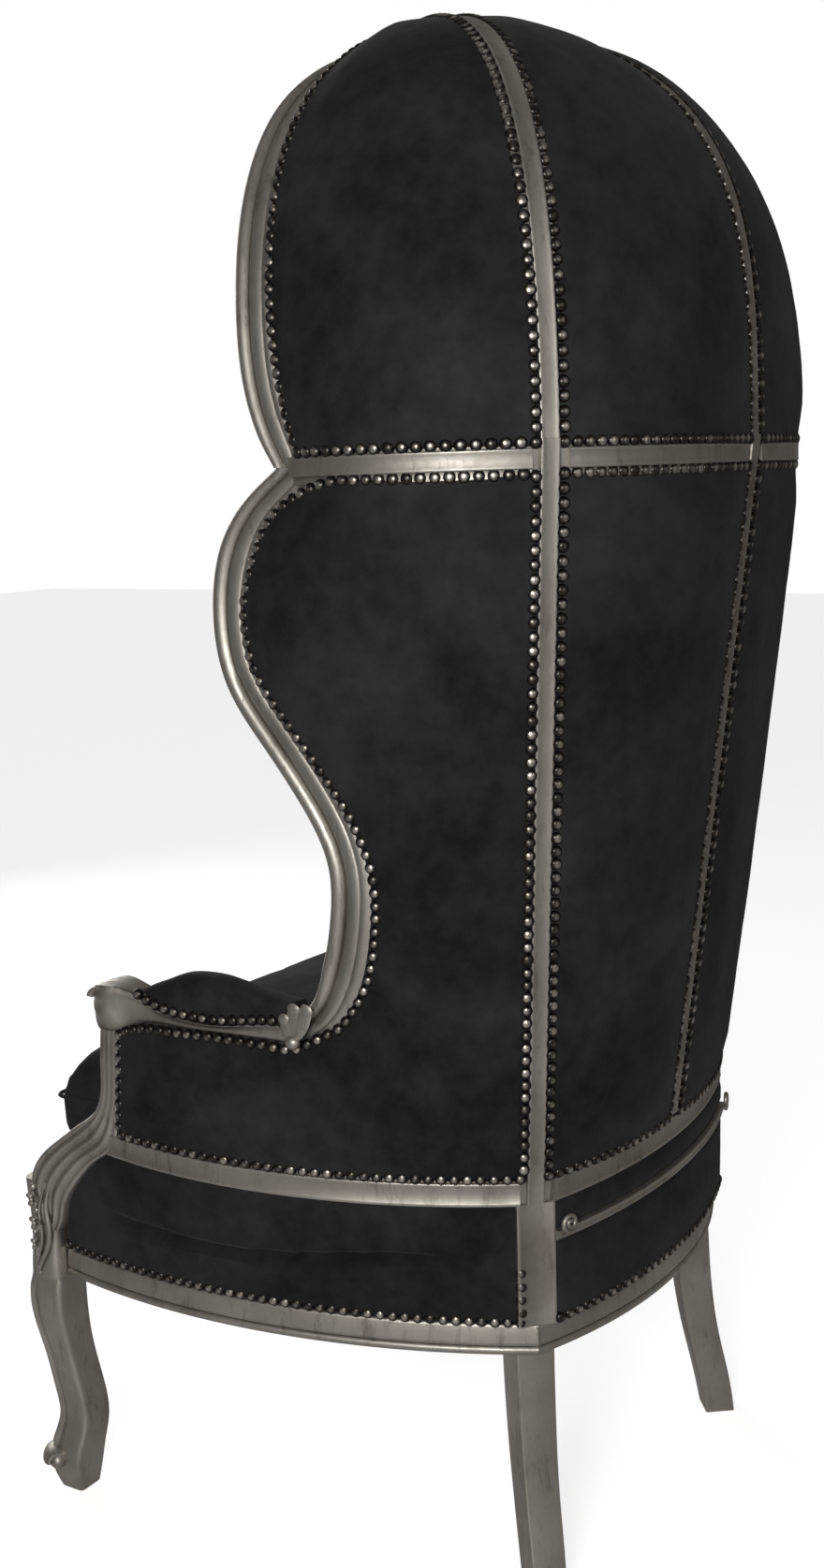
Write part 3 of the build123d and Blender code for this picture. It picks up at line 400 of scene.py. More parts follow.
# Materials: a socket gets a plain value, or a link from another node's socket
def feed(tree, made, sockets):
    for key, value in sockets.items():
        if isinstance(value, bpy.types.NodeSocket):
            tree.links.new(value, made.inputs[key])
        else:
            made.inputs[key].default_value = value


def node(tree, kind, sockets, **settings):
    made = tree.nodes.new("ShaderNode" + kind)
    for key, value in settings.items():
        setattr(made, key, value)
    feed(tree, made, sockets)
    return made


def noiseOf(tree, vector, scale, detail, roughness=0.5, distortion=0.0):
    sockets = {"Scale": scale, "Detail": detail, "Roughness": roughness, "Distortion": distortion}
    if vector:
        sockets["Vector"] = vector
    return node(tree, "TexNoise", sockets).outputs[0]


def maths(tree, operation, *values, clamp=False):
    return node(tree, "Math", dict(enumerate(values)), operation=operation, use_clamp=clamp).outputs[0]


def mapped(tree, value, fromLow, fromHigh, toLow, toHigh):
    return node(tree, "MapRange", dict(enumerate((value, fromLow, fromHigh, toLow, toHigh)))).outputs[0]


def blend(tree, share, first, second, mode="MIX"):
    sockets = {"Factor": share, "A": first, "B": second}
    return node(tree, "Mix", sockets, data_type="RGBA", blend_type=mode).outputs["Result"]


def ramp(tree, value, stops):
    made = node(tree, "ValToRGB", {0: value})
    elements = made.color_ramp.elements
    for element, (place, color) in zip(elements, (stops[0], stops[-1])):
        element.position = place
        element.color = (*color, 1)
    for place, color in stops[1:-1]:
        elements.new(place).color = (*color, 1)
    return made.outputs[0]


# A finish shared by materials: named inputs, and colour, roughness and height as outputs
def effectGroup(name, inputs):
    group = bpy.data.node_groups.new(name, "ShaderNodeTree")
    for label, value in inputs.items():
        kind = "NodeSocketColor" if isinstance(value, tuple) else "NodeSocketFloat"
        group.interface.new_socket(name=label, in_out="INPUT", socket_type=kind).default_value = value
    for label, kind in (("Color", "Color"), ("Roughness", "Float"), ("Height", "Float")):
        group.interface.new_socket(name=label, in_out="OUTPUT", socket_type="NodeSocket" + kind)
    gin, gout = group.nodes.new("NodeGroupInput"), group.nodes.new("NodeGroupOutput")
    spot = node(group, "TexCoord", {}).outputs["Object"]
    scaled = node(group, "VectorMath", {0: spot, "Scale": gin.outputs["Scale"]}, operation="SCALE")
    return group, gin.outputs, gout, scaled.outputs[0]


# Leaf laid over carved wood: streaks of laying, rubbed patches and a dark glaze in the hollows
def makeLeafGroup():
    group, given, gout, spot = effectGroup("leafFinish", {
        "Scale": 1.0, "Glaze": 0.5, "Light": (0.75, 0.72, 0.68, 1), "Dark": (0.3, 0.27, 0.23, 1)})
    clouds = noiseOf(group, spot, 9.0, 5.0, 0.6)
    fine = noiseOf(group, spot, 160.0, 6.0, 0.7)
    drawn = node(group, "Mapping", {"Scale": (1.0, 1.0, 0.22), "Vector": spot}).outputs[0]
    streaks = noiseOf(group, drawn, 75.0, 5.0, 0.75, 0.4)
    lines = ramp(group, streaks, [(0.3, (0.5, 0.49, 0.47)), (0.46, (0.95, 0.95, 0.95)), (0.75, (1, 1, 1))])
    pointed = node(group, "NewGeometry", {}).outputs["Pointiness"]
    hollow = ramp(group, pointed, [(0.42, (1, 1, 1)), (0.5, (0, 0, 0))])
    patch = ramp(group, clouds, [(0.32, (0, 0, 0)), (0.68, (1, 1, 1))])
    dull = maths(group, "MULTIPLY", hollow, given["Glaze"])
    worn = maths(group, "MULTIPLY", patch, 0.45)
    both = maths(group, "ADD", worn, dull, clamp=True)
    tone = blend(group, both, given["Light"], given["Dark"])
    rough = mapped(group, fine, 0.0, 1.0, 0.3, 0.56)
    feed(group, gout, {"Color": blend(group, 0.75, tone, lines, "MULTIPLY"),
                       "Roughness": maths(group, "MULTIPLY_ADD", both, 0.22, rough),
                       "Height": maths(group, "MULTIPLY_ADD", fine, 0.6, lines)})
    return group


# Short pile: painted sheen in soft patches where it lies another way, and in a fine grain
def makePileGroup():
    group, given, gout, spot = effectGroup("pileFinish", {
        "Scale": 1.0, "Brushed": 0.6, "Base": (0.012, 0.012, 0.013, 1), "PaintedSheen": (0.035, 0.035, 0.038, 1)})
    patch = mapped(group, noiseOf(group, spot, 5.5, 4.0, 0.55, 0.6), 0.38, 0.66, 0.0, 1.0)
    flecks = mapped(group, noiseOf(group, spot, 38.0, 5.0, 0.65), 0.35, 0.75, 0.0, 0.45)
    both = maths(group, "MULTIPLY_ADD", patch, given["Brushed"], flecks, clamp=True)
    # The colour is drawn from the base towards the lit colour by the patches and grain: painted sheen
    feed(group, gout, {"Color": blend(group, both, given["Base"], given["PaintedSheen"]),
                       "Roughness": mapped(group, both, 0.0, 1.0, 0.98, 0.78),
                       "Height": noiseOf(group, spot, 900.0, 2.0)})
    return group


def newMaterial(name):
    material = bpy.data.materials.new(name)
    material.use_nodes = True
    tree = material.node_tree
    return material, tree, tree.nodes["Principled BSDF"]


def addBump(tree, shader, height, strength, distance):
    bump = node(tree, "Bump", {"Strength": strength, "Distance": distance, "Height": height})
    feed(tree, shader, {"Normal": bump.outputs[0]})


# A material whose finish comes from a shared group
def finishedIn(name, group, look, bump, shaderValues):
    material, tree, shader = newMaterial(name)
    finish = node(tree, "Group", {}, node_tree=group)
    feed(tree, finish, look)
    color, roughness, height = (finish.outputs[key] for key in ("Color", "Roughness", "Height"))
    feed(tree, shader, {"Base Color": color, "Roughness": roughness, **shaderValues})
    addBump(tree, shader, height, *bump)
    return material


leafLook = {"light": (0.5, 0.47, 0.42, 1), "dark": (0.15, 0.13, 0.105, 1), "glaze": 1.0, "metal": 0.95}
silverLeaf = finishedIn("silverLeaf", makeLeafGroup(), {
    "Scale": 1.0, "Glaze": leafLook["glaze"], "Light": leafLook["light"], "Dark": leafLook["dark"]},
    (0.35, 0.0008), {"Metallic": leafLook["metal"]})

# The lit colour is the velvet where painted sheen falls on it
velvetLook = {"base": (0.007, 0.007, 0.0072, 1), "lit": (0.028, 0.028, 0.0295, 1), "sheen": 0.08}
pileGroup = makePileGroup()


def makeVelvet(name, scale=1.0, brushed=0.6, sheen=1.0):
    look = {"Scale": scale, "Brushed": brushed, "Base": velvetLook["base"], "PaintedSheen": velvetLook["lit"]}
    return finishedIn(name, pileGroup, look, (0.25, 0.0006), {
        "Sheen Weight": velvetLook["sheen"] * sheen, "Sheen Roughness": 0.45,
        "Sheen Tint": (0.5, 0.5, 0.52, 1), "Specular IOR Level": 0.15})


outerVelvet = makeVelvet("outerVelvet")
innerVelvet = makeVelvet("innerVelvet", scale=1.3, brushed=0.75, sheen=1.3)
liningCloth = makeVelvet("liningCloth", scale=3.0, brushed=0.3, sheen=0.4)

# Nail colours: the crown colour is a painted highlight on the top of each dome, and the rim colour a painted
# shade round its foot
nailLook = {"radius": 6.4, "height": 4.2, "pitch": 13.7,
            "rim": (0.02, 0.018, 0.016), "crown": (0.52, 0.48, 0.42)}
nailMetal, tree, shader = newMaterial("antiqueNail")
crown = node(tree, "Attribute", {}, attribute_name="crown").outputs["Fac"]
stops = [(0.0, nailLook["rim"]), (0.72, tuple(0.1 * c for c in nailLook["crown"])), (0.93, nailLook["crown"])]
feed(tree, shader, {"Base Color": ramp(tree, crown, stops), "Metallic": 1.0,
                    "Roughness": mapped(tree, noiseOf(tree, None, 420.0, 3.0), 0.0, 1.0, 0.2, 0.5)})

plainTimber, tree, shader = newMaterial("plainTimber")
spot = node(tree, "TexCoord", {}).outputs["Object"]
drawn = node(tree, "Mapping", {"Scale": (1.0, 1.0, 14.0), "Vector": spot}).outputs[0]
rings = noiseOf(tree, drawn, 18.0, 6.0, 0.6)
tint = ramp(tree, rings, [(0.3, (0.33, 0.21, 0.12)), (0.7, (0.55, 0.39, 0.24))])
feed(tree, shader, {"Base Color": tint, "Roughness": 0.65})
addBump(tree, shader, rings, 0.3, 0.0008)
print("materials made")


# Show-wood: mouldings, ribs, bands and rails
# Profile of the front frame: u runs back from the CAD's front edge, v inwards from the outer face
mouldingLook = {
    "profile": [(0.0, 9.0), (0.5, 4.5), (2.6, 1.2), (5.5, 0.0), (9.0, 1.0), (11.5, 3.6), (12.6, 5.2),
                (14.0, 5.0), (15.4, 3.4), (17.0, 2.8), (25.5, 2.2), (27.0, 3.6), (28.4, 2.4), (32.5, 3.2),
                (36.0, 5.5), (36.0, 36.0), (5.5, 36.0), (2.6, 34.8), (0.5, 31.0), (0.3, 27.0), (1.6, 24.0),
                (2.2, 18.0), (1.6, 13.0), (0.3, 10.0)],
    "wingStations": 120, "archStations": 110, "startWidth": 0.5, "lipHeight": 1005.0, "lipRise": 1.6,
    "wingWider": (8.0, 5.0), "archWider": (7.0, 2.0),
}


# The wing is a little wider than its CAD piece where it sweeps free, and the arch near its foot
def widened(u, z, wider, first, last):
    share = ease(z, first, 60.0) * ease(last, z, 90.0)
    return u - wider[0] * share * (1 - u / 36.0) + wider[1] * share * u / 36.0


# Cuts a mesh with a level plane and closes the cut
def cutLevel(obj, z, keepAbove):
    def cut(bm):
        geom = list(bm.verts) + list(bm.edges) + list(bm.faces)
        made = bmesh.ops.bisect_plane(bm, geom=geom, plane_co=(0, 0, z * mm), plane_no=(0, 0, 1),
                                      clear_inner=keepAbove, clear_outer=not keepAbove)
        bmesh.ops.holes_fill(bm, edges=[e for e in made["geom_cut"] if isinstance(e, bmesh.types.BMEdge)])
    editMesh(obj, cut)
    finishShading(obj)


def wingSections(profile, count):
    line = smoothLine(wingEdge, count)
    step = lineLength(line) / (count - 1)
    sections = []
    for k, ((y, z), (ty, tz)) in enumerate(zip(line, tangents(line))):
        start = mix(mouldingLook["startWidth"], 1.0, ease(k * step, 0.0, 32.0))
        lip = mouldingLook["lipRise"] if z < mouldingLook["lipHeight"] else 0.0
        section = []
        for u, v in profile:
            lower = lip if 12.0 < u < 17.0 else 0.0
            u = widened(u * start, z, mouldingLook["wingWider"], 655.0, hood)
            zz = z - ty * u
            section.append((np.interp(zz, frontView[:, 1], frontView[:, 0]) - v - lower, y + tz * u, zz))
        sections.append(section)
    return sections


def archSections(profile, count):
    front = bezier([(350.0, 1215.0), (350.0, 1425.0), (278.0, 1663.0), (0.0, 1657.0)], count)
    front = np.vstack([[350.0, 1180.0], front])
    tang = tangents(front)
    tang[0] = (0.0, 1.0)
    sections = []
    for (x, z), (tx, tz) in zip(front, tang):
        section = []
        for u, v in profile:
            zz = z + tx * v
            y = np.interp(z, archLine[:, 1], archLine[:, 0])
            section.append((x - tz * v, y + widened(u, z, mouldingLook["archWider"], 1190.0, 1660.0), zz))
        sections.append(section)
    sections[-1] = [(0.0, y, z) for x, y, z in sections[-1]]
    return sections


profile = mouldingLook["profile"]
for name, sections, above in (("wing", wingSections(profile, mouldingLook["wingStations"]), False),
                              ("arch", archSections(profile, mouldingLook["archStations"]), True)):
    piece = makeMesh("left_" + name + "_wood", skin(sections), silverLeaf)
    cutLevel(piece, hood, keepAbove=above)
    place(piece, "show_wood", "left_" + name + "_moulding")
print("front frame made")

# Section of a rib or band: s runs across it, d inwards from its face.
# Its raised face reaches low and high of the middle; beyond that it is rebated for the fabric's margin.
stripLook = {"face": 9.6, "step": 3.2, "round": 1.2, "bandDepth": 25.0}


def stripSide(reach, half, depth):
    r, step = stripLook["round"], stripLook["step"]
    if reach >= half:
        return [(half - 4.0, 0.3), (half - 3.0 * r, 0.0), (half - r, 0.15), (half - 0.3 * r, 0.3 * r),
                (half, r), (half, depth)]
    return [(reach - 3.2, 0.35), (reach - 2.0 * r, 0.0), (reach - 0.9 * r, 0.05), (reach - 0.2 * r, 0.35 * r),
            (reach, r), (reach + 0.1, step), (half - 0.5, step), (half, step + 0.8), (half, depth)]


def stripProfile(half, depth, low=stripLook["face"], high=stripLook["face"]):
    left = [(-s, d) for s, d in reversed(stripSide(low, half, depth))]
    return left + [(0.0, 0.4)] + stripSide(high, half, depth)


# A rib in an upright plane through the hood's axis, along (radius, height) pairs
def rib(angle, pairs, half=chair["ribWidth"] / 2, **reach):
    pairs = np.array(pairs, float)
    d, side = direction(angle), np.array([*across(angle), 0.0])
    profile = stripProfile(half, chair["ribDepth"], **reach)
    sections = []
    for (r, z), (tr, tz) in zip(pairs, tangents(pairs)):
        point = np.array([d[0] * r, chair["axisY"] + d[1] * r, z])
        out = np.array([d[0] * tz, d[1] * tz, -tr])
        sections.append([point + side * s - out * inset for s, inset in profile])
    return skin(sections)


# Sweeps (height, inset) pairs along a line in plan
def sweepPlan(line, profile):
    line = np.array(line, float)
    sections = []
    for (x, y), tangent in zip(line, tangents(line)):
        out = outward((x, y), tangent)
        sections.append([(x - out[0] * inset, y - out[1] * inset, z) for z, inset in profile])
    return skin(sections)


def bandShape(line, low, high, *faces):
    profile = stripProfile((high - low) / 2, stripLook["bandDepth"], *faces)
    return sweepPlan(line, [((high + low) / 2 + s, d) for s, d in profile])


def domeRib(kind, angle):
    pairs = meridian(kind, kind[0], count=70)
    keep = pairs[pairs[:, 0] > chair["crownRadius"]]
    edge = np.array([chair["crownRadius"], valueAt(pairs[::-1], chair["crownRadius"])])
    return rib(angle, np.vstack([keep, edge]))


# The left back post with its wide stump is one piece
wide = chair["stumpWidth"]
postHeights = [*np.linspace(band, hood, 30), chair["hoodTop"]]
backHeights = [*np.linspace(chair["bandTop"], hood, 30), chair["hoodTop"]]
stumpLine = [(postRadius(z), z) for z in np.linspace(chair["railTop"], band, 10)]
wood("left_post_wood", joined([rib(rear, [(postRadius(z), z) for z in postHeights]),
                               rib(rear, stumpLine, wide / 2, low=wide, high=wide)]), "left_back_post")
wood("centre_rib_wood", rib(0.0, [(backRadius(z), z) for z in backHeights]), "centre_back_rib")
wood("left_dome_wood", domeRib(postKind, rear), "left_dome_rib")
wood("centre_dome_wood", domeRib(backKind, 0.0), "centre_dome_rib")

lowerBand = (band, chair["bandTop"], 20.0, 10.5)
hoodBand = (chair["hoodBottom"], chair["hoodTop"])
wood("left_lower_wood", bandShape(sideArc(466.0, count=60)[1:], *lowerBand), "left_lower_band")
wood("rear_lower_wood", bandShape(roundArc(466.0, count=80), *lowerBand), "rear_lower_band")
wood("left_hood_wood", bandShape(sideArc(hood, count=60)[2:], *hoodBand), "left_hood_band")
wood("rear_left_hood_wood", bandShape(backArc(hood, count=40), *hoodBand), "rear_left_hood_band")
print("ribs and bands made")


# Fabric panels, stretched between the strips and nailed along every edge
panelLook = {"tuck": 2.5, "edge": 4.0, "edgeReach": 8.0, "swell": 45.0, "nailIn": 4.3,
             "wrinkle": 1.0, "wrinkleSize": 70.0, "borderRows": (0.0, 2.5, 5.5, 9.0, 14.0)}


# Height of the fabric over the strips' face, at a distance from its nearest border
def puff(d, rise):
    return (-panelLook["tuck"] + panelLook["edge"] * smoothStep(d / panelLook["edgeReach"])
            + rise * smoothStep((d - 5.0) / panelLook["swell"]))


def wrinkle(p, d):
    q = Vector(tuple(float(c) for c in p)) / panelLook["wrinkleSize"]
    return panelLook["wrinkle"] * ease(d, 6.0, 40.0) * (noise.noise(q) + 0.4 * noise.noise(q * 2.7))


nailSpots = {}


# Adds a row of nails at an even pitch along points of the fabric, each with the way that it faces
def nailRow(region, pairs, skipEnds=False):
    points, normals = (np.array(part, float) for part in zip(*pairs))
    length = lineLength(points)
    count = max(1, round(length / nailLook["pitch"]))
    d = runLength(points)
    for k in range(1, count) if skipEnds else range(count + 1):
        s = length * k / count + random.uniform(-0.35, 0.35)
        nailSpots.setdefault(region, []).append((pointsAt(s, d, points), unit(pointsAt(s, d, normals))))


# A four-sided panel: surface(s, t) gives a point on the plane of the strips' faces, s across and t up
def fourSided(name, surface, rise, rows, cols, region, nails="btlr", crown=0.0):
    def steps(count):
        return np.linspace(0, 1, count)

    width0 = lineLength([surface(s, 0.5) for s in steps(20)])
    height0 = lineLength([surface(0.5, t) for t in steps(20)])
    widths = np.array([max(lineLength([surface(s, t) for s in steps(9)]), 1e-3) for t in steps(25)])
    heights = np.array([max(lineLength([surface(s, t) for t in steps(13)]), 1e-3) for s in steps(9)])

    def normal(s, t):
        e = 0.004
        a = surface(min(s + e, 1), t) - surface(max(s - e, 0), t)
        b = surface(s, min(t + e, 1)) - surface(s, max(t - e, 0))
        n = unit(np.cross(a, b))
        p = surface(s, t)
        away = np.array([p[0], p[1] - chair["axisY"], max(p[2] - chair["hoodTop"], 0.0)])
        return n if n @ away > 0 else -n

    def point(s, t):
        w, h = np.interp(t, steps(25), widths), np.interp(s, steps(9), heights)
        d = min(s * w, (1 - s) * w, t * h, (1 - t) * h)
        p = surface(s, t)
        n = normal(s, t)
        lift = puff(d, rise) + crown * math.sin(math.pi * s) * math.sin(math.pi * min(max(t, 0), 1)) ** 0.6
        return p + n * (lift + wrinkle(p, d)), n

    def spread(count, total):
        near = [d for d in panelLook["borderRows"] if d < total * 0.35]
        inner = list(np.linspace(near[-1], total - near[-1], count))[1:-1]
        return np.array(near + inner + [total - d for d in reversed(near)]) / total

    up, over = spread(rows, height0), spread(cols, width0)
    verts = [point(s, t)[0] for t in up for s in over]
    obj = makeMesh(name, (verts, gridFaces(len(up), len(over))), outerVelvet)
    thicken(obj)
    inset = panelLook["nailIn"]
    lowT, highT = inset / height0, 1 - inset / height0

    def sides(t):
        w = np.interp(t, steps(25), widths)
        return inset / w, 1 - inset / w

    for edge in "lrbt":
        if edge in nails and edge in "lr":
            path = [(sides(t)[edge == "r"], t) for t in lowT + (highT - lowT) * steps(80)]
            nailRow(region, [point(s, t) for s, t in path])
        elif edge in nails:
            t = lowT if edge == "b" else highT
            path = [(mix(*sides(t), s), t) for s in steps(80)]
            nailRow(region, [point(s, t) for s, t in path], skipEnds="l" in nails or "r" in nails)
    return obj


lineStore = {}


def stored(key, maker):
    if key not in lineStore:
        lineStore[key] = maker()
    return lineStore[key]


# A surface over lines in plan, one at each height: s runs along the line and t up
def planSurface(key, arc, low, high):
    def surface(s, t):
        z = low + t * (high - low)
        zr = round(z, 1)
        line = stored((key, zr), lambda: arc(zr))
        x = s * (len(line) - 1)
        i = min(int(x), len(line) - 2)
        return np.array([*(line[i] + (line[i + 1] - line[i]) * (x - i)), z])
    return surface


# Where the fabric's margin ends: beside a rib, over the lower band, under and over the hood band
stripEdge = 10.0
bandEdge = 477.0
hoodEdge = 1205.0
domeEdge = 1225.0

backSurface = planSurface("back", lambda z: backArc(z, half=stripEdge, count=30), bandEdge, hoodEdge)
leftBack = fourSided("left_back_velvet", backSurface, 5.0, 44, 16, "back", crown=4.0)
place(leftBack, "outer_fabric", "left_back_panel")

# Gores of the dome, from the hood band up to the crown block; the cloth is pulled straight towards the crown
domeLook = {"flat": 0.75, "swell": 4.0, "crown": 5.0}


def goreSurface(kinds, angles, sides, footAt, cut=None):
    count = 25
    lines = []
    for share in np.arange(count) / (count - 1):
        kind = tuple(mix(a, b, share) for a, b in zip(*kinds))
        pairs = meridian(kind, footAt(share), z=domeEdge, count=160)
        angle, side = mix(*angles, share), mix(*sides, share)
        d, a = direction(angle), across(angle)
        line = [(d[0] * r + a[0] * side, chair["axisY"] + d[1] * r + a[1] * side, z)
                for r, z in pairs if r > chair["crownRadius"] - 3.0]
        lines.append(evenly(line, 70))
    grid = np.array(lines)
    if cut:
        trimmed = []
        for j in range(grid.shape[1]):
            fine = pointsAt(np.linspace(0, 1, 400), np.linspace(0, 1, count), grid[:, j])
            beyond = fine[:, 1] < cut(fine[:, 2])
            end = int(np.argmax(beyond)) if beyond.any() else 399
            trimmed.append(evenly(fine[:max(end, 3)], count))
        grid = np.array(trimmed).transpose(1, 0, 2)
    share = np.linspace(0, 1, count)[:, None, None]
    straight = grid[:1] * (1 - share) + grid[-1:] * share
    flat = (domeLook["flat"] * smoothStep((np.linspace(0, 1, grid.shape[1]) - 0.12) / 0.5))[None, :, None]
    grid = grid * (1 - flat) + straight * flat

    def surface(s, t):
        x, y = min(max(s, 0), 1) * (grid.shape[0] - 1), min(max(t, 0), 1) * (grid.shape[1] - 1)
        i, j = min(int(x), grid.shape[0] - 2), min(int(y), grid.shape[1] - 2)
        u, v = x - i, y - j
        low = grid[i, j] * (1 - u) + grid[i + 1, j] * u
        high = grid[i, j + 1] * (1 - u) + grid[i + 1, j + 1] * u
        return low * (1 - v) + high * v
    return surface


postCorner, postBackCorner = (onRib(rear, chair["postHood"], side) for side in (stripEdge, -stripEdge))
centreCorner, frontCorner = onRib(0, chair["backHood"], stripEdge), np.array([347.0, 45.0])


def frontFoot(share):
    def foot(s):
        return footOn(frontCorner, postCorner, 41.0, mix(rear, 90.0, s), mix(stripEdge, 0.0, s))
    return foot(share) if share < 0.93 else mix(foot(0.93), 338.0, (share - 0.93) / 0.07)


def rearFoot(share):
    angle, side = mix(0.0, rear, share), mix(stripEdge, -stripEdge, share)
    return footOn(centreCorner, postBackCorner, 21.0, angle, side)


def archCut(z):
    return np.interp(z, archLine[:, 1], archLine[:, 0]) + 36.5


frontGore = goreSurface((postKind, archKind), (rear, 90.0), (stripEdge, 0.0), frontFoot, archCut)
rearGore = goreSurface((backKind, postKind), (0.0, rear), (stripEdge, -stripEdge), rearFoot)
for end, gore, cols in (("front", frontGore, 30), ("rear", rearGore, 24)):
    panel = fourSided("left_" + end + "_dome_velvet", gore, domeLook["swell"], 46, cols, end + "Dome",
                      nails="blr", crown=domeLook["crown"])
    place(panel, "outer_fabric", "left_" + end + "_dome_panel")
print("dome and back panels made")

# Aprons between the seat rail and the lower band
for level, low, high, rise, rows, nails, swell in (
        ("lower", chair["railTop"] + 0.5, 408.5, 4.0, 12, "b", 2.5),
        ("upper", 419.5, band - 0.5, 3.0, 6, "", 1.0)):
    wall = planSurface("round", lambda z: roundArc(z, half=22.0, count=90), low, high)
    panel = fourSided("rear_" + level + "_velvet", wall, rise, rows, 70, "rearApron", nails, swell)
    place(panel, "outer_fabric", "rear_" + level + "_apron")


# A panel of free outline: the outline is drawn in (length along the wall, height)
def freePanel(name, outline, onWall, rise, region, rows, crown=0.0, pitch=9.0, crease=None):
    loop = closeLoop(np.array(outline, float))
    loop = evenly(loop, max(40, int(lineLength(loop) / 5.0)))[:-1]
    tree = kdtree.KDTree(len(loop) * 4)
    for i, p in enumerate(evenly(closeLoop(loop), len(loop) * 4 + 1)[:-1]):
        tree.insert((p[0], p[1], 0), i)
    tree.balance()
    following = np.roll(loop, -1, axis=0)

    def inside(p):
        crossing = (loop[:, 1] > p[1]) != (following[:, 1] > p[1])
        with np.errstate(divide="ignore", invalid="ignore"):
            share = (p[1] - loop[:, 1]) / (following[:, 1] - loop[:, 1])
            xs = loop[:, 0] + share * (following[:, 0] - loop[:, 0])
        return int((crossing & (p[0] < xs)).sum()) % 2 == 1

    def distance(p):
        return tree.find((p[0], p[1], 0))[2]

    turn = 1 if (loop[:, 0] * following[:, 1] - following[:, 0] * loop[:, 1]).sum() > 0 else -1

    def offsetLoop(d):
        full = evenly(closeLoop(loop), len(loop) + 1)[:-1]
        tang = np.roll(full, -1, axis=0) - np.roll(full, 1, axis=0)
        tang = tang / np.linalg.norm(tang, axis=1)[:, None]
        moved = full + np.stack([-tang[:, 1], tang[:, 0]], 1) * turn * d
        return np.array([p for p in moved if inside(p) and distance(p) > d * 0.93])

    flat = [tuple(p) for p in loop]
    for d in panelLook["borderRows"][1:]:
        flat += [tuple(p) for p in offsetLoop(d)]
    (lowX, lowZ), (highX, highZ) = loop.min(axis=0), loop.max(axis=0)
    for i, z in enumerate(np.arange(lowZ + 5, highZ, pitch * 0.87)):
        for x in np.arange(lowX + (i % 2) * pitch / 2, highX, pitch):
            if inside((x, z)) and distance((x, z)) > 19.0:
                flat.append((x, z))
    edges = [(i, (i + 1) % len(loop)) for i in range(len(loop))]
    cut = geometry.delaunay_2d_cdt([Vector(p) for p in flat], edges, [], 1, 1e-4)

    def onCloth(p):
        base, n = onWall(p[0], p[1])
        d = distance(p)
        fold = crease(p) if crease else 0.0
        return base + n * (puff(d, rise) + crown * ease(d, 0.0, 90.0) + wrinkle(base, d) + fold), n

    obj = makeMesh(name, ([onCloth(tuple(p))[0] for p in cut[0]], cut[2]), outerVelvet)
    thicken(obj)
    path = offsetLoop(panelLook["nailIn"])
    for row in rows:
        start, end = (int(np.argmin(np.linalg.norm(path - np.array(q), axis=1))) for q in row)
        count = (end - start) % len(path) or len(path)
        nailRow(region, [onCloth(path[(start + k) % len(path)]) for k in range(count + 1)])
    return obj


# The side wall's line at a height, from the rear post forward, and the length up to each of its points
def wallLine(z, fronted):
    zr = round(z / 3.0) * 3.0

    def make():
        line = sideArc(zr, half=stripEdge, count=120, front=fronted(zr) if fronted else None)[::-1]
        return line, runLength(line)
    return stored(("side", bool(fronted), zr), make)


# A point of the side wall: a is the length forward from the rear post's edge at that height
def sideWall(a, z, fronted=None):
    line, d = wallLine(z, fronted)
    (x, y), (dx, dy) = pointsAt(a, d, line), pointsAt(a + 4.0, d, line) - pointsAt(a - 4.0, d, line)
    n = unit([-dy, dx, 0])
    return np.array([x, y, z]), n if n[0] > 0 else -n


# The length along the wall at which it has a given y
def wallLength(y, z, fronted=None):
    line, d = wallLine(z, fronted)
    return float(np.interp(-y, -line[:, 1], d))


# Border of the side panel: up the post, along the hood band, behind the wing, under and behind the arm
sidePanel = {"cornerHeight": 1148.0, "reach": 36.6, "underArm": [
    (24.0, 621.5), (12.0, 620.5), (0.0, 621.5), (-12.0, 623.0), (-76.0, 624.0), (-128.0, 622.0),
    (-175.0, 619.5), (-200.0, 613.0), (-215.0, 606.5), (-221.0, armLevel), (-226.0, 543.0),
    (-232.0, 488.0), (-236.0, bandEdge)]}


# The wing's front edge moved back by a distance at each point
def behindWing(reach):
    line = smoothLine(wingEdge, 300)
    tang = tangents(line)
    return line + np.stack([tang[:, 1], -tang[:, 0]], 1) * reach(line[:, 1])[:, None]


wider = mouldingLook["wingWider"][1]
wingRear = behindWing(lambda z: sidePanel["reach"] + wider * smoothStep((z - 665.0) / 60.0)
                      * smoothStep((1200.0 - z) / 80.0))
corner = sidePanel["cornerHeight"]
topFront = wallLength(valueAt(wingRear, corner, 1, 0), corner)
edgeTop = wallLength(valueAt(wingRear, 1190.0, 1, 0), 1190.0)
outline = [(0.0, bandEdge), (0.0, hoodEdge)]
outline += [tuple(p) for p in bezier([(edgeTop - 62.0, hoodEdge), (edgeTop - 30.0, hoodEdge - 1.0),
                                      (topFront - 8.0, 1182.0), (topFront, corner)], 14)]
outline += [(wallLength(y, z), z) for y, z in wingRear[::-1] if 648.0 < z < corner]
outline += [(wallLength(y, z), z) for y, z in sidePanel["underArm"]]
around = [((12.0, 492.0), (12.0, 492.0))]
leftSide = freePanel("left_side_velvet", outline, sideWall, 5.0, "side", around, crown=4.0)
place(leftSide, "outer_fabric", "left_side_panel")
print("side panels made")

# Side apron: it sags over a soft fold, and is nailed along the rail and beside the post
apronLook = {"foldHeight": 386.0, "foldDepth": 13.0, "foldWidth": 5.5, "bulge": 8.0, "border": [
    (-254.0, 450.8), (-262.0, 447.0), (-284.5, 434.7), (-323.0, 400.5), (-331.0, 392.0),
    (-339.0, 380.0), (-339.5, 314.8)]}


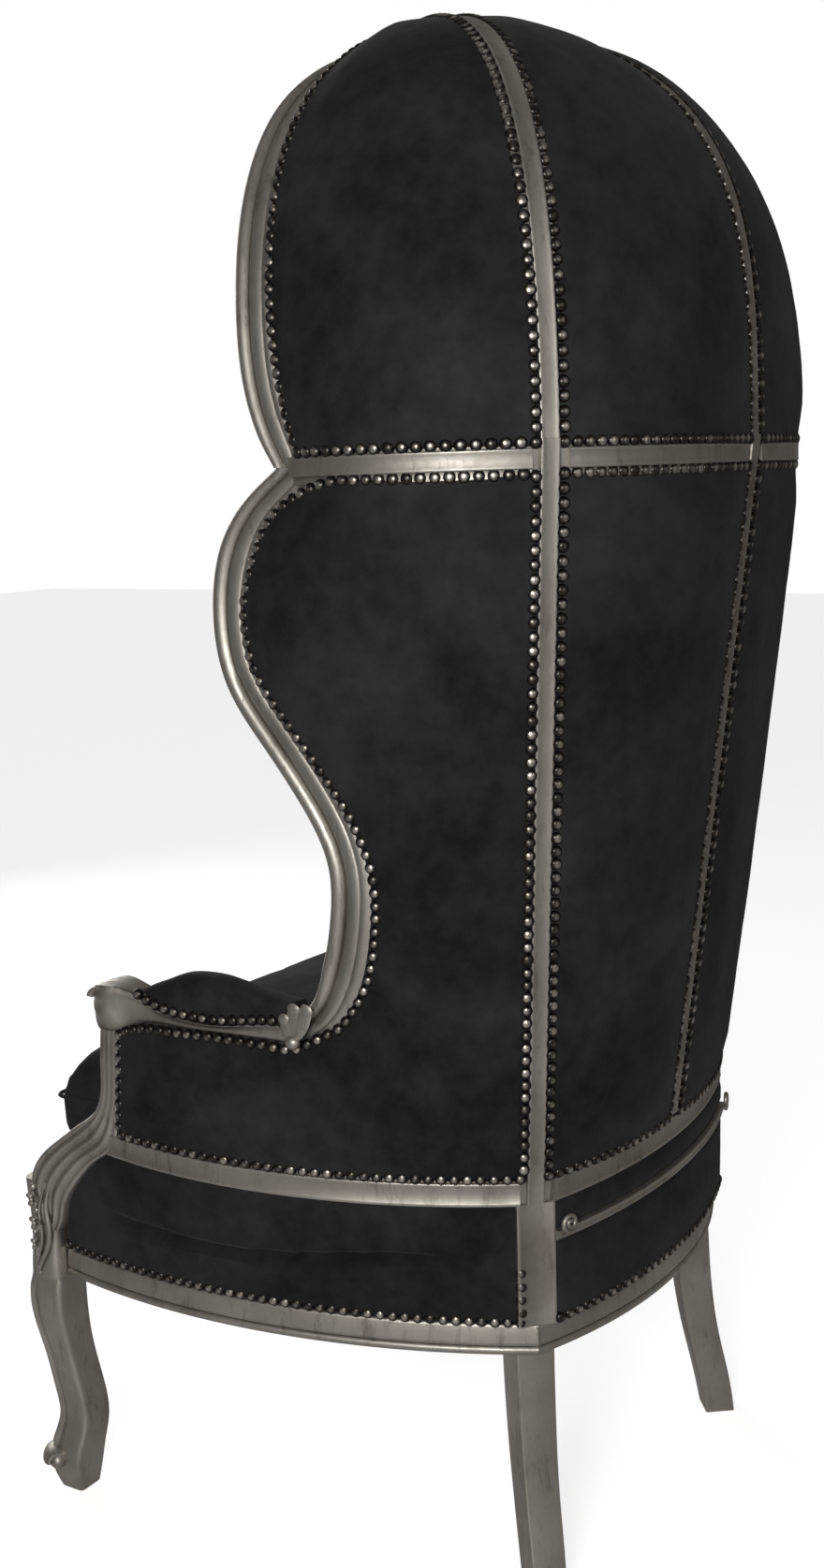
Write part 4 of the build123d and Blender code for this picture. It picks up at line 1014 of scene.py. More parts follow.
def apronFront(z):
    top = chair["timberTop"]
    share = max(0.0, (z - top) / 51.0)
    swell = (z - chair["railTop"]) / 86.0 if z < top else (band - z) / 51.0
    bow = mix(46.0, 50.0, share) + apronLook["bulge"] * swell
    return mix(325.0, 337.0, share), mix(-340.0, -267.0, share), bow


def apronWall(a, z):
    return sideWall(a, z, apronFront)


def apronFold(p):
    a, z = p
    path = apronLook["foldHeight"] + 6.0 * math.sin(a / 70.0) - 10.0 * smoothStep((a - 60.0) / 500.0)
    lower = 3.6 * bell(z, path - 12.0, 9.0) + 3.0 * bell(z, path + 13.0, 8.0)
    second = 2.2 * bell(z, path - 26.0, 4.5) * ease(330.0, a, 120.0)
    crease = lower - second - apronLook["foldDepth"] * bell(z, path, apronLook["foldWidth"])
    return ease(a, 30.0, 120.0) * ease(560.0, a, 120.0) * crease


outline = [(4.0, 314.8), (4.0, 450.8)] + [(wallLength(y, z, apronFront), z) for y, z in apronLook["border"]]
frontLow = wallLength(-339.5, 318.0, apronFront) - 4.0
leftApron = freePanel("left_apron_velvet", outline, apronWall, 4.0, "apron",
                      [((frontLow, 318.5), (8.0, 318.5)), ((8.0, 332.0), (8.0, 374.0))],
                      crown=2.0, pitch=5.2, crease=apronFold)
place(leftApron, "outer_fabric", "left_apron_panel")
print("aprons made")


# Nails: low domes with a small flat rim, joined region by region; each point's crown share sets its painted
# highlight, brightest at the top, with painted shade at the rim
def nailShape(rings=4, segments=12):
    r, h = nailLook["radius"], nailLook["height"]
    turns = [2 * math.pi * j / segments for j in range(segments)]
    verts, paintedHighlightShares = [(0.0, 0.0, h)], [1.0]
    for k in range(1, rings + 1):
        w = math.pi / 2 * k / rings
        out, up = r * math.sin(w), h * math.cos(w)
        verts += [(out * math.cos(a), out * math.sin(a), up) for a in turns]
        paintedHighlightShares += [max(0.0, math.cos(w)) ** 0.8] * segments
    verts += [(r * 1.02 * math.cos(a), r * 1.02 * math.sin(a), -1.2) for a in turns]
    paintedHighlightShares += [0.0] * segments
    faces = [(0, 1 + j, 1 + (j + 1) % segments) for j in range(segments)]
    for low in range(1, 1 + rings * segments, segments):
        for j in range(segments):
            high, following = low + segments, (j + 1) % segments
            faces.append((low + j, high + j, high + following, low + following))
    return np.array(verts), faces, paintedHighlightShares


def makeNails(region, twin):
    base, baseFaces, paintedHighlightShares = nailShape()
    shapes, tone = [], []
    for p, n in nailSpots[region]:
        n = unit(n + np.array([random.gauss(0, 0.03) for _ in range(3)]))
        helper = np.array([0, 0, 1.0]) if abs(n[2]) < 0.9 else np.array([0, 1.0, 0])
        a = unit(np.cross(helper, n))
        b = np.cross(n, a)
        size = random.uniform(0.96, 1.04)
        # shade makes each nail's painted highlight a little weaker at random
        shade = random.uniform(0.75, 1.0)
        shapes.append(([p + (a * v[0] + b * v[1]) * size + n * v[2] for v in base], baseFaces))
        tone += [c * shade for c in paintedHighlightShares]
    obj = makeMesh("nails_" + region, joined(shapes), nailMetal, sharp=80)
    # The crown attribute gives each point its share of the painted highlight
    obj.data.attributes.new("crown", "FLOAT", "POINT").data.foreach_set("value", tone)
    if twin:
        mirrored(obj, "nails_" + region + "_right")


# Seat rails: bead, groove and fascia, with the hidden timber above them as part of the same piece
# Each point is (height, inset from the outer line)
railLook = {
    "profile": [(400.0, 12.0), (318.0, 12.0), (314.0, 8.0), (314.0, 4.2), (313.0, 2.6), (310.5, 1.8),
                (302.0, 1.0), (294.0, 0.2), (291.0, 0.2), (290.0, 1.2), (289.2, 3.0), (288.4, 1.2),
                (287.0, -0.4), (285.0, -0.9), (282.6, -0.6), (280.4, 0.8), (278.6, 4.0), (278.0, 8.5),
                (278.0, 60.0), (400.0, 60.0)],
    "bow": 52.0}
legTop, profile = chair["railBottom"], railLook["profile"]
sideRail = sideArc(legTop, half=0.0, count=90, front=(325.0, -340.0, railLook["bow"]))
wood("left_rail_wood", sweepPlan(sideRail, profile), "left_seat_rail", 60)
wood("rear_rail_wood", sweepPlan(roundArc(legTop, half=0.0, count=110), profile), "rear_seat_rail", 60)


# Simple solids for carving
def ballMesh(centre, axes, rows=7, cols=12):
    centre = np.array(centre, float)
    a, b, c = (np.array(v, float) for v in axes)
    verts = [tuple(centre + c)]
    for r in range(1, rows):
        w = math.pi * r / rows
        for k in range(cols):
            t = 2 * math.pi * k / cols
            verts.append(tuple(centre + c * math.cos(w) + (a * math.cos(t) + b * math.sin(t)) * math.sin(w)))
    verts.append(tuple(centre - c))
    faces = [(0, 1 + k, 1 + (k + 1) % cols) for k in range(cols)]
    for low in range(1, 1 + (rows - 2) * cols, cols):
        for k in range(cols):
            high, following = low + cols, (k + 1) % cols
            faces.append((low + k, high + k, high + following, low + following))
    last, ring = len(verts) - 1, 1 + (rows - 2) * cols
    return verts, faces + [(last, ring + (k + 1) % cols, ring + k) for k in range(cols)]


# A tapering roll along a line, round in section
def rollMesh(line, radii, cols=10, flatten=1.0, up=(1, 0, 0)):
    line = np.array(line, float)
    sections = []
    for p, t, r in zip(line, tangents(line), radii):
        a = np.cross(t, np.array(up, float))
        a = unit(a) if np.linalg.norm(a) > 0.05 else unit(np.cross(t, (1.0, 0.3, 0.0)))
        b = np.cross(t, a)
        sections.append([tuple(p + (a * math.cos(w) + b * math.sin(w) * flatten) * r)
                         for w in np.linspace(0, 2 * math.pi, cols, endpoint=False)])
    return skin(sections)


# The thin strip across the rear apron, with a small curl at each end
curlLook = {"radius": 10.5, "turns": 1.6, "in": 15.0, "height": 426.0, "proud": 3.5,
            "thick": 3.0, "thin": 1.9}


def endCurl(foot, second):
    along = unit(second - foot)
    out = outward(foot, along)
    line = []
    for t in np.linspace(0, 1, 40):
        turn = -math.pi / 2 - 2 * math.pi * curlLook["turns"] * t
        r = curlLook["radius"] * (1 - 0.8 * t)
        spot = foot + along * (curlLook["in"] + r * math.cos(turn)) + out * (curlLook["proud"] + 2.0 * t)
        line.append((spot[0], spot[1], curlLook["height"] + r * math.sin(turn)))
    radii = np.linspace(curlLook["thick"], curlLook["thin"], 40)
    return rollMesh(line, radii, cols=8, up=(out[0], out[1], 0))


path = roundArc(414.0, inset=-5.0, half=21.5, count=90)
wood("rear_strip_wood", joined([bandShape(path, 409.0, 419.0, 9.0, 9.0), endCurl(path[0], path[1]),
                                endCurl(path[-1], path[-2])]), "rear_thin_strip")


# A leaf: a pointed blade with a midrib and lobes, lying on a surface with a given normal
def leafMesh(base, tip, normal, width, lift, lobes):
    base, tip, normal = np.array(base, float), np.array(tip, float), unit(normal)
    along = tip - base
    side = unit(np.cross(normal, along))
    rows = []
    for t in np.arange(23) / 22:
        body = math.sin(math.pi * min(1.0, t * 0.94 + 0.04)) ** 0.7
        lobe = 1.0 - 0.28 * abs(math.sin(math.pi * lobes * t)) ** 0.5 * (1 - t * 0.6)
        w = width * body * (1.18 - lobe * 0.3) * (0.75 + 0.25 * abs(math.cos(math.pi * lobes * t)))
        rise = lift * math.sin(math.pi * min(1, t * 0.9 + 0.08)) + lift * 0.35 * t * t
        centre = base + along * t
        row = []
        for s in (-1.0, -0.72, -0.4, -0.12, 0.0, 0.12, 0.4, 0.72, 1.0):
            midrib = 0.22 * (s == 0.0) - 0.12 * (abs(s) == 0.12)
            h = rise * (1.0 - 0.75 * s * s) + midrib * lift
            row.append(tuple(centre + side * s * w + normal * h))
        rows.append(row + [tuple(centre + side * s * w * 0.8 - normal * 2.5) for s in (1.0, 0.0, -1.0)])
    return skin(rows)


# Arm support: an S-shaped bracket whose outer face is cut with flutes that spread towards its toe
supportLook = {"outer": 343.5, "inner": 307.0, "flutes": 4, "depthTop": 1.6, "depthToe": 4.2}
supportFront = smoothLine([
    (-249.0, armLevel), (-253.0, 560.0), (-257.0, 520.0), (-268.0, 500.0), (-293.0, 481.0), (-325.0, 458.0),
    (-352.0, 436.0), (-369.0, 414.0), (-375.0, 396.0), (-371.0, 372.0), (-366.0, 350.0)], 90)
supportBack = smoothLine([
    (-221.0, armLevel), (-226.0, 543.0), (-233.0, 488.0), (-241.0, 463.0), (-271.0, 440.0), (-296.0, 416.0),
    (-314.0, 394.0), (-326.0, 372.0), (-333.0, 350.0), (-340.0, 340.0)], 90)
sections = []
for k, (fore, aft) in enumerate(zip(supportFront, supportBack)):
    t = k / (len(supportFront) - 1)
    depth = mix(supportLook["depthTop"], supportLook["depthToe"], ease(t, 0.25, 0.3))
    section = []
    for w in np.linspace(0, 1, 33):
        edge = min(w, 1 - w)
        wave = (0.5 - 0.5 * math.cos(2 * math.pi * supportLook["flutes"] * w)) ** 0.8
        groove = depth * wave * ease(edge, 0.0, 0.08) * (0.35 if t < 0.35 else 1.0)
        v = 5.0 * (1 - ease(edge, 0.0, 0.1)) ** 1.5 + groove - 2.5 * bell(t, 0.72, 0.16)
        section.append((supportLook["outer"] - v, *(fore + (aft - fore) * w)))
    for w in (1.0, 0.9, 0.5, 0.1, 0.0):
        section.append((supportLook["inner"] + (4.0 if w in (0.0, 1.0) else 0.0), *(fore + (aft - fore) * w)))
    sections.append(section)
wood("left_support_wood", skin(sections), "left_arm_support", 70)


# Arm rail: level from the wing forward, then a fluted curl that overhangs the support
def armLine(start, size, shares):
    return smoothLine([(-5.0 + a * 280.0, start + b * size) for a, b in shares], 90)


armTop = armLine(armLevel, 36.0, [
    (-0.93, 0.84), (-0.915, 1.14), (-0.86, 1.4), (-0.77, 1.4), (-0.68, 1.2), (-0.62, 1.0), (-0.42, 0.72),
    (-0.22, 0.76), (0.0, 1.0), (0.07, 1.0)])
armUnder = smoothLine([
    (-265.0, 634.0), (-262.0, 622.0), (-256.0, 611.0), (-248.0, 605.0), (-238.0, 604.0), (-222.0, 604.0),
    (-212.0, 606.0), (-198.0, 612.5), (-175.0, 618.5), (-128.0, 621.0), (-76.0, 622.5), (0.0, 622.0),
    (16.0, 622.0)], 240)
armOuter = armLine(348.0, -38.0, [
    (-0.94, 0.60), (-0.9, 0.2), (-0.83, -0.06), (-0.74, 0.08), (-0.66, 0.16), (-0.35, 0.02),
    (0.0, 0.17), (0.07, 0.2)])
armInner = armLine(348.0, -38.0, [
    (-0.94, 0.62), (-0.91, 1.04), (-0.83, 1.27), (-0.74, 1.17), (-0.66, 1.16), (-0.35, 1.02),
    (0.0, 1.17), (0.07, 1.2)])
armLook = {"stations": 110, "cove": 3.0, "flute": 1.8, "foot": 604.5, "nose": (344.0, -247.0, 640.0)}
sections = []
for y in np.linspace(-264.5, 14.0, armLook["stations"]):
    top, under, out, inn = (valueAt(line, y) for line in (armTop, armUnder, armOuter, armInner))
    scroll = ease(-215.0, y, 30.0)
    height, wide = max(top - under, 1.0), max(out - inn, 1.0)
    foot = min(under, armLook["foot"])
    section = [(out - 9.0, y, foot), (out - 9.0, y, under - 0.2)]
    for u in np.linspace(0, 1, 15):
        side = armLook["cove"] * math.sin(math.pi * u) ** 1.2 * (1 - scroll)
        flute = scroll * armLook["flute"] * (0.5 - 0.5 * math.cos(2 * math.pi * 2.5 * u))
        rounded = 2.5 * (1 - ease(min(u, 1 - u), 0.0, 0.14))
        section.append((out - side - flute - rounded, y, under + height * u))
    for u in np.linspace(0.06, 0.94, 11):
        ridge = scroll * armLook["flute"] * (0.5 - 0.5 * math.cos(2 * math.pi * 3 * u))
        section.append((out - wide * u, y, top + 0.6 * math.sin(math.pi * u) - ridge))
    sections.append(section + [(inn + 0.5, y, z) for z in (top - 1.5, mix(top, armLook["foot"], 0.5), foot)])
x, y, z = armLook["nose"]
curl = []
for t in np.linspace(0, 1, 30):
    shrink = 1 - 0.62 * t
    curl.append((x - 3.0 * t, y - 11.0 * shrink * math.cos(4.4 * t), z + 10.0 * shrink * math.sin(4.4 * t)))
wood("left_arm_wood", joined([skin(sections), rollMesh(curl, [4.2 - 2.2 * k / 29 for k in range(30)])]),
     "left_arm_rail", 65)

# Carved leaf where the arm meets the wing: rounded lobes (turn, length, width) fanned from its foot
leafFan = {"foot": (347.5, 25.0, 627.0), "lift": 2.0,
           "lobes": [(62, 46, 10.0), (84, 40, 10.0), (112, 28, 9.0)]}
foot = np.array(leafFan["foot"])
lift = np.array([leafFan["lift"], 0, 0])
leafParts = []
for turn, length, wide in leafFan["lobes"]:
    way = np.array([0.0, math.cos(math.radians(turn)), math.sin(math.radians(turn))])
    flat = np.cross((1.0, 0, 0), way)
    leafParts.append(ballMesh(foot + way * length * 0.55, (way * length * 0.5, flat * wide, lift), 9, 14))
    leafParts.append(ballMesh(foot + way * length * 0.93 + (1.0, 0, 0), (way * 6.0, flat * wide * 0.8, lift)))
leafParts.append(ballMesh(foot + (0.5, 0, 0), ((0, 9.0, 0), (0, 0, 8.0), (6.5, 0, 0)), 8, 14))
wood("left_arm_leaf", joined(leafParts), sharp=40)


# A level section with soft corners: size over the flats, and how square it is
def squareRing(centre, size, power, z, relief=None):
    ring = []
    for w in np.linspace(0, 360, 72, endpoint=False):
        c, s = math.cos(math.radians(w)), math.sin(math.radians(w))
        r = size / 2 / (abs(c) ** power + abs(s) ** power) ** (1 / power)
        r += relief(w) if relief else 0.0
        ring.append((centre[0] + r * c, centre[1] + r * s, z))
    return ring


# Front leg: a block between the rails and a cabriole below it; shares are (height, inward, width)
legLook = {"x": 316.0, "y": -364.0, "size": 52.0, "bead": 2.6, "beadTurn": 11.0, "power": 8.0}
legShares = np.array([
    (1.0, -0.02, 0.92), (0.93, -0.05, 0.98), (0.82, -0.03, 0.96), (0.65, 0.11, 0.86), (0.47, 0.28, 0.86),
    (0.31, 0.34, 0.88), (0.19, 0.17, 0.96), (0.09, 0.12, 0.88), (0.0, 0.16, 0.66)])


def legRelief(bead, w):
    away = (w - 315.0 + 180.0) % 360.0 - 180.0
    beads = bell(away, -legLook["beadTurn"], 4.2) + bell(away, legLook["beadTurn"], 4.2)
    grooves = 0.9 * bell(away, 0.0, 4.5) + 0.5 * (bell(away, 21, 3.5) + bell(away, -21, 3.5))
    return bead * (beads - grooves)


cabriole = []
for z, inward, width in smoothLine(legShares * np.array([legTop, legLook["size"], legLook["size"]]), 70):
    shift = inward * math.sin(math.radians(45))
    share = z / legTop
    bead = legLook["bead"] * ease(share, 0.12, 0.1) * ease(1.03, share, 0.1)
    cabriole.append(squareRing((legLook["x"] - shift, legLook["y"] + shift), width, legLook["power"], z,
                               lambda w: legRelief(bead, w)))
block = [squareRing((318.5, -365.0), 45.0 + 3.0 * math.cos(2 * math.pi * ((z - legTop) / 122.0)), 4, z)
         for z in (legTop, 284.0, 296.0, 314.0, 335.0, 360.0, 382.0, 394.0, 400.0)]


# Knee: flowers and a fall of leaf beads down the outer front corner, framed by a scroll
def flower(centre, normal, size):
    normal = unit(normal)
    a = unit(np.cross((0, 0, 1.0), normal))
    b = np.cross(normal, a)
    centre = np.array(centre)
    heart = (a * size * 0.24, b * size * 0.24, normal * size * 0.22)
    parts = [ballMesh(centre + normal * size * 0.28, heart)]
    for k in range(5):
        w = 2 * math.pi * k / 5 + 0.3
        d = a * math.cos(w) + b * math.sin(w)
        side = np.cross(normal, d)
        petal = (d * size * 0.36 + normal * size * 0.1, side * size * 0.27, normal * size * 0.17)
        parts.append(ballMesh(centre + d * size * 0.46 + normal * size * 0.08, petal, 5, 10))
    return parts


legParts = [skin(cabriole), skin(block)]

# Toe: a curl that rolls up at the outer front corner
toe = np.array([331.0, -374.0, 40.0])
toeLine = [toe + np.array([0.7, -0.7, 0.0]) * (11.5 * (1 - 0.6 * t) * math.cos(5.6 * t))
           + np.array([0, 0, 1.0]) * 13.0 * (1 - 0.6 * t) * math.sin(5.6 * t) for t in np.linspace(0, 1, 34)]
toeRadii = [6.5 - 2.6 * k / 33 for k in range(34)]
legParts.append(rollMesh(toeLine, toeRadii, cols=14, flatten=3.0, up=(0.7, 0.7, 0.0)))
legParts.append(ballMesh(toe, ((14.5, 14.5, 0), (8.5, -8.5, 0), (0, 0, 13.0)), 12, 18))
for z, y, size in ((378.0, -368.0, 14.0), (349.0, -366.0, 14.0), (322.0, -368.0, 12.0)):
    legParts += flower((345.5, y, z), (1.0, -0.12, 0.05), size)
    legParts += flower((300.0 + (y + 368.0), -388.0, z), (0.0, -1.0, 0.05), size)
for k, z in enumerate((393.0, 364.0, 336.0, 308.0, 299.0, 291.0, 284.0)):
    size = 5.6 - 0.3 * k
    outerSpot, frontSpot = (345.0 - 0.5 * k, -368.0 + 3.0 * math.sin(k * 2.0), z), (301.0, -387.5, z)
    for spot, out, side in ((outerSpot, (1.0, 0, 0), (0, 1.0, 0)), (frontSpot, (0, -1.0, 0), (1.0, 0, 0))):
        axes = (np.array(out) * size * 0.8, np.array(side) * size * 0.8, (0, 0, size * 0.85))
        legParts.append(ballMesh(spot, axes, 6, 10))
for z in (384.0, 350.0, 316.0):
    legParts.append(leafMesh((330.0, -388.0, z), (312.0, -389.0, z - 18.0), (0, -1.0, 0), 7.0, 3.2, 2))
kneeScrolls = [
    ([(344.5, -342.0, 398.0), (345.5, -349.0, 372.0), (345.5, -346.0, 342.0), (345.5, -352.0, 318.0),
      (345.5, -362.0, 300.0), (345.0, -368.0, 286.0)], 40, 1.2, 2.6),
    ([(344.5, -352.0, 392.0), (346.0, -360.0, 362.0), (346.0, -358.0, 330.0), (346.0, -366.0, 306.0),
      (345.0, -372.0, 290.0)], 34, 0.8, 1.9)]
for points, count, thin, swell in kneeScrolls:
    radii = [thin + swell * math.sin(math.pi * k / (count - 1)) for k in range(count)]
    legParts.append(rollMesh(smoothLine(points, count), radii))
wood("front_left_leg_wood", joined(legParts), "front_left_leg", 48)

# Rear leg: square, softened edges, swept back to the foot
rearLegShares = np.array([
    (1.0, 0.0, 1.0), (0.7, 0.12, 0.96), (0.4, 0.42, 0.91), (0.12, 0.86, 0.88), (0.0, 1.0, 0.84)])
a, b = across(38.0), direction(38.0)
sections = []
for z, sweep, width in smoothLine(rearLegShares * np.array([legTop, 38.0, 44.0]), 34):
    centre = onRib(rear, 313.0 + sweep)
    h, r = width / 2, 2.6
    quarter = [(h - r + r * math.cos(w), h - r + r * math.sin(w)) for w in np.linspace(0, math.pi / 2, 4)]
    section = []
    for sx, sy in ((1, 1), (-1, 1), (-1, -1), (1, -1)):
        section += [centre + a * sx * u + b * sy * v for u, v in (quarter if sx * sy > 0 else quarter[::-1])]
    sections.append([(p[0], p[1], z) for p in section])
wood("rear_left_leg_wood", skin(sections), "rear_left_leg")
print("rails, arms and legs made")


# Upholstery inside: wall pads, lining, seat and arm pads
softLook = {"inset": 36.3, "sideDepth": 26.0, "backDepth": 49.0, "sideRound": 16.0, "backRound": 22.0,
            "edge": 0.3, "channelDepth": 0.16, "channelWidth": 74.0, "buttonSize": 11.0,
            "tuftAcross": 92.0, "tuftUp": 104.0, "tuftLow": 480.0, "tuftHigh": 1170.0, "tuftDepth": 19.0}
padTop = hood - 0.5


# A closed pad between two surfaces of (s, t): its face rounds off towards every border
def padShell(name, surfaces, rows, cols, relief, roundOff):
    over, up = np.linspace(0, 1, cols), np.linspace(0, 1, rows)
    back, face = (np.array([[surface(s, t) for s in over] for t in up], float) for surface in surfaces)
    fromLeft = np.array([runLength(row) for row in face])
    fromLow = np.array([runLength(column) for column in face.transpose(1, 0, 2)]).T
    keep = softLook["edge"]
    front = []
    for r in range(rows):
        for c in range(cols):
            left, wide, low, high = fromLeft[r, c], fromLeft[r, -1], fromLow[r, c], fromLow[-1, c]
            edge = min(left, wide - left, low, high - low)
            share = min(edge / roundOff, 1.0)
            share = keep + (1 - keep) * math.sqrt(max(0.0, 1 - (1 - share) ** 2))
            share -= relief(left - wide / 2, face[r, c, 2], edge)
            front.append(back[r, c] + (face[r, c] - back[r, c]) * share)
    start = rows * cols
    faces = gridFaces(rows, cols) + gridFaces(rows, cols, offset=start)
    border = [(0, c) for c in range(cols)] + [(r, cols - 1) for r in range(1, rows)]
    border += [(rows - 1, c) for c in range(cols - 2, -1, -1)] + [(r, 0) for r in range(rows - 2, 0, -1)]
    for (r, c), (r2, c2) in zip(border, border[1:] + border[:1]):
        faces.append((r * cols + c, r2 * cols + c2, start + r2 * cols + c2, start + r * cols + c))
    obj = makeMesh(name, (front + list(back.reshape(-1, 3)), faces), innerVelvet, sharp=70)
    return obj, np.array(front).reshape(rows, cols, 3)


wingBack = behindWing(lambda z: np.full(len(z), 27.0))
wingBack = wingBack[wingBack[:, 1] <= 1300.0]


def wingFront(z):
    return valueAt(wingBack, max(z, 668.0), 1, 0)


# A side pad's surface between two levels, over the part of the wall behind frontAt
def wallPad(low, high, frontAt, inset):
    def surface(s, t):
        z = mix(low, high, t)
        frontY = frontAt(z)

        def make():
            line = evenly(sideArc(z, inset=inset, half=0.3, count=120), 200)
            kept = line[line[:, 1] >= frontY]
            return evenly(kept if len(kept) > 1 else line[-2:], 61)
        line = stored(("pad", round(z, 1), inset, round(frontY, 1)), make)
        return (*pointsAt(s * 60, range(61), line), z)
    return surface


def backPad(inset):
    def surface(s, t):
        z = mix(deckLow, padTop, t)
        line = stored(("backPad", round(z, 1), inset),
                      lambda: evenly(roundArc(z, inset=inset, half=0.3, count=140), 81))
        return (*pointsAt(s * 80, range(81), line), z)
    return surface


# Upright channels in the side pads, and a diamond pattern of tufts in the back pad
def channels(u, z, edge):
    wave = 1 - abs(math.sin(math.pi * u / softLook["channelWidth"])) ** 0.5
    return softLook["channelDepth"] * wave * ease(edge, 4.0, 20.0)


def tufts(u, z, edge):
    over, up = u / softLook["tuftAcross"], (z - softLook["tuftLow"]) / softLook["tuftUp"]
    a, b = over + up, over - up
    swell = (abs(math.sin(math.pi * a)) * abs(math.sin(math.pi * b))) ** 0.42
    near = math.hypot(a - round(a), b - round(b))
    depth = 0.62 * (1 - swell) * (0.45 + 0.55 * bell(near, 0.0, 0.22)) + 0.38 * bell(near, 0.0, 0.085)
    return softLook["tuftDepth"] / softLook["backDepth"] * depth * ease(edge, 14.0, 34.0)


inset, pads = softLook["inset"], []
for name, low, high, frontAt, rows, cols in (
        ("left_wing_pad_velvet", armLevel + 0.5, padTop, wingFront, 74, 46),
        ("left_inner_arm_velvet", deckLow, armLevel - 0.5, lambda z: -266.0, 28, 60)):
    surfaces = [wallPad(low, high, frontAt, d) for d in (inset, inset + softLook["sideDepth"])]
    pads.append(padShell(name, surfaces, rows, cols, channels, softLook["sideRound"])[0])
for pad in pads:
    place(pad, "inner_fabric", "left_side_pad", 0.85)
rows, cols = 150, 90
innerBack, face = padShell("inner_back_velvet", [backPad(inset), backPad(inset + softLook["backDepth"])],
                           rows, cols, tufts, softLook["backRound"])
place(innerBack, "inner_fabric", "inner_back_pad", 0.8)

# A covered button in each tuft
buttons, size = [], softLook["buttonSize"]
for j, z in enumerate(np.arange(softLook["tuftLow"], softLook["tuftHigh"], softLook["tuftUp"] / 2)):
    row = face[int(round((z - deckLow) / (padTop - deckLow) * (rows - 1)))]
    run = runLength(row)
    middle = run[-1] / 2
    for i in range(-4, 5):
        u = (i + 0.5 * (j % 2)) * softLook["tuftAcross"]
        if abs(u) > middle - 34.0:
            continue
        c = int(np.argmin(np.abs(run - middle - u)))
        along = unit(row[min(c + 1, cols - 1)] - row[max(c - 1, 0)])
        inward = unit([-row[c][0] * 0.9, chair["axisY"] - 40.0 - row[c][1], 0.0])
        axes = (along * size, (0, 0, size), inward * size * 0.5)
        buttons.append(ballMesh(row[c] + inward * 2.0, axes, 6, 14))
place(makeMesh("inner_back_buttons", joined(buttons), innerVelvet), "inner_fabric")

# Hood lining: gathered from the foot of the hood in towards the middle under the crown
liningLook = {"inset": 38.5, "depth": 18.0, "folds": 22, "fold": 2.2, "setback": 26.5, "foot": 1215.3}
liningKinds = [(*kind[:5], chair["archCrown"]) for kind in (backKind, postKind, archKind)]


def liningMeridian(angle, inset):
    if angle <= rear:
        first, last, share = *liningKinds[:2], angle / rear
        line = backArc(liningLook["foot"], half=0.0, count=200)
    else:
        first, last, share = *liningKinds[1:], (angle - rear) / (90.0 - rear)
        line = sideArc(liningLook["foot"], half=0.0, count=200)
    x, y = (line - axis).T
    turn, radius = np.degrees(np.arctan2(x, y)), np.hypot(x, y)
    order = np.argsort(turn)
    kind = [mix(p, q, share) for p, q in zip(first, last)]
    foot = float(np.interp(angle, turn[order], radius[order]))
    return meridian(kind, foot, inset, innerEnd=12.0, z=liningLook["foot"], count=44)


def liningGrid(inset, fold):
    columns = []
    for angle in np.linspace(0, 90, 60):
        wave = fold * (1 - abs(math.sin(math.pi * angle * liningLook["folds"] / 90.0 / 2)) ** 0.6)
        column = []
        for r, z in liningMeridian(float(angle), inset):
            x, y = onRib(float(angle), r + wave * min(1.0, r / 150.0))
            limit = valueAt(archLine, z, 1, 0) + liningLook["setback"]
            column.append((max(x, 0.3), max(y, limit), z))
        columns.append(column)
    return columns


# Points that fall together under the crown are made one
def mergeClose(bm):
    bmesh.ops.remove_doubles(bm, verts=bm.verts, dist=0.0002)
    bmesh.ops.dissolve_degenerate(bm, edges=bm.edges, dist=0.0002)


inset = liningLook["inset"]
grids = liningGrid(inset + 0.5, 0.0) + liningGrid(inset + liningLook["depth"], liningLook["fold"])
cols, count = len(grids) // 2, len(grids[0])
start = cols * count
faces = gridFaces(cols, count) + gridFaces(cols, count, offset=start)
for a in range(0, start - count, count):
    for k in (a, a + count - 1):
        faces.append((k, k + count, start + k + count, start + k))
for k in range(count - 1):
    for a in (k, start - count + k):
        faces.append((a, a + 1, start + a + 1, start + a))
verts = [p for column in grids for p in column]
leftLining = makeMesh("left_lining_cloth", (verts, faces), innerVelvet, sharp=75)
editMesh(leftLining, mergeClose)
finishShading(leftLining, 75)
place(leftLining, "inner_fabric", "left_hood_lining", 0.7)
print("inside upholstered")

# The seat in plan: a front part between the supports and a rear part between the walls
seatLook = {"stepY": -285.0, "bow": 10.0, "side": 67.3, "back": 90.3, "points": 240}


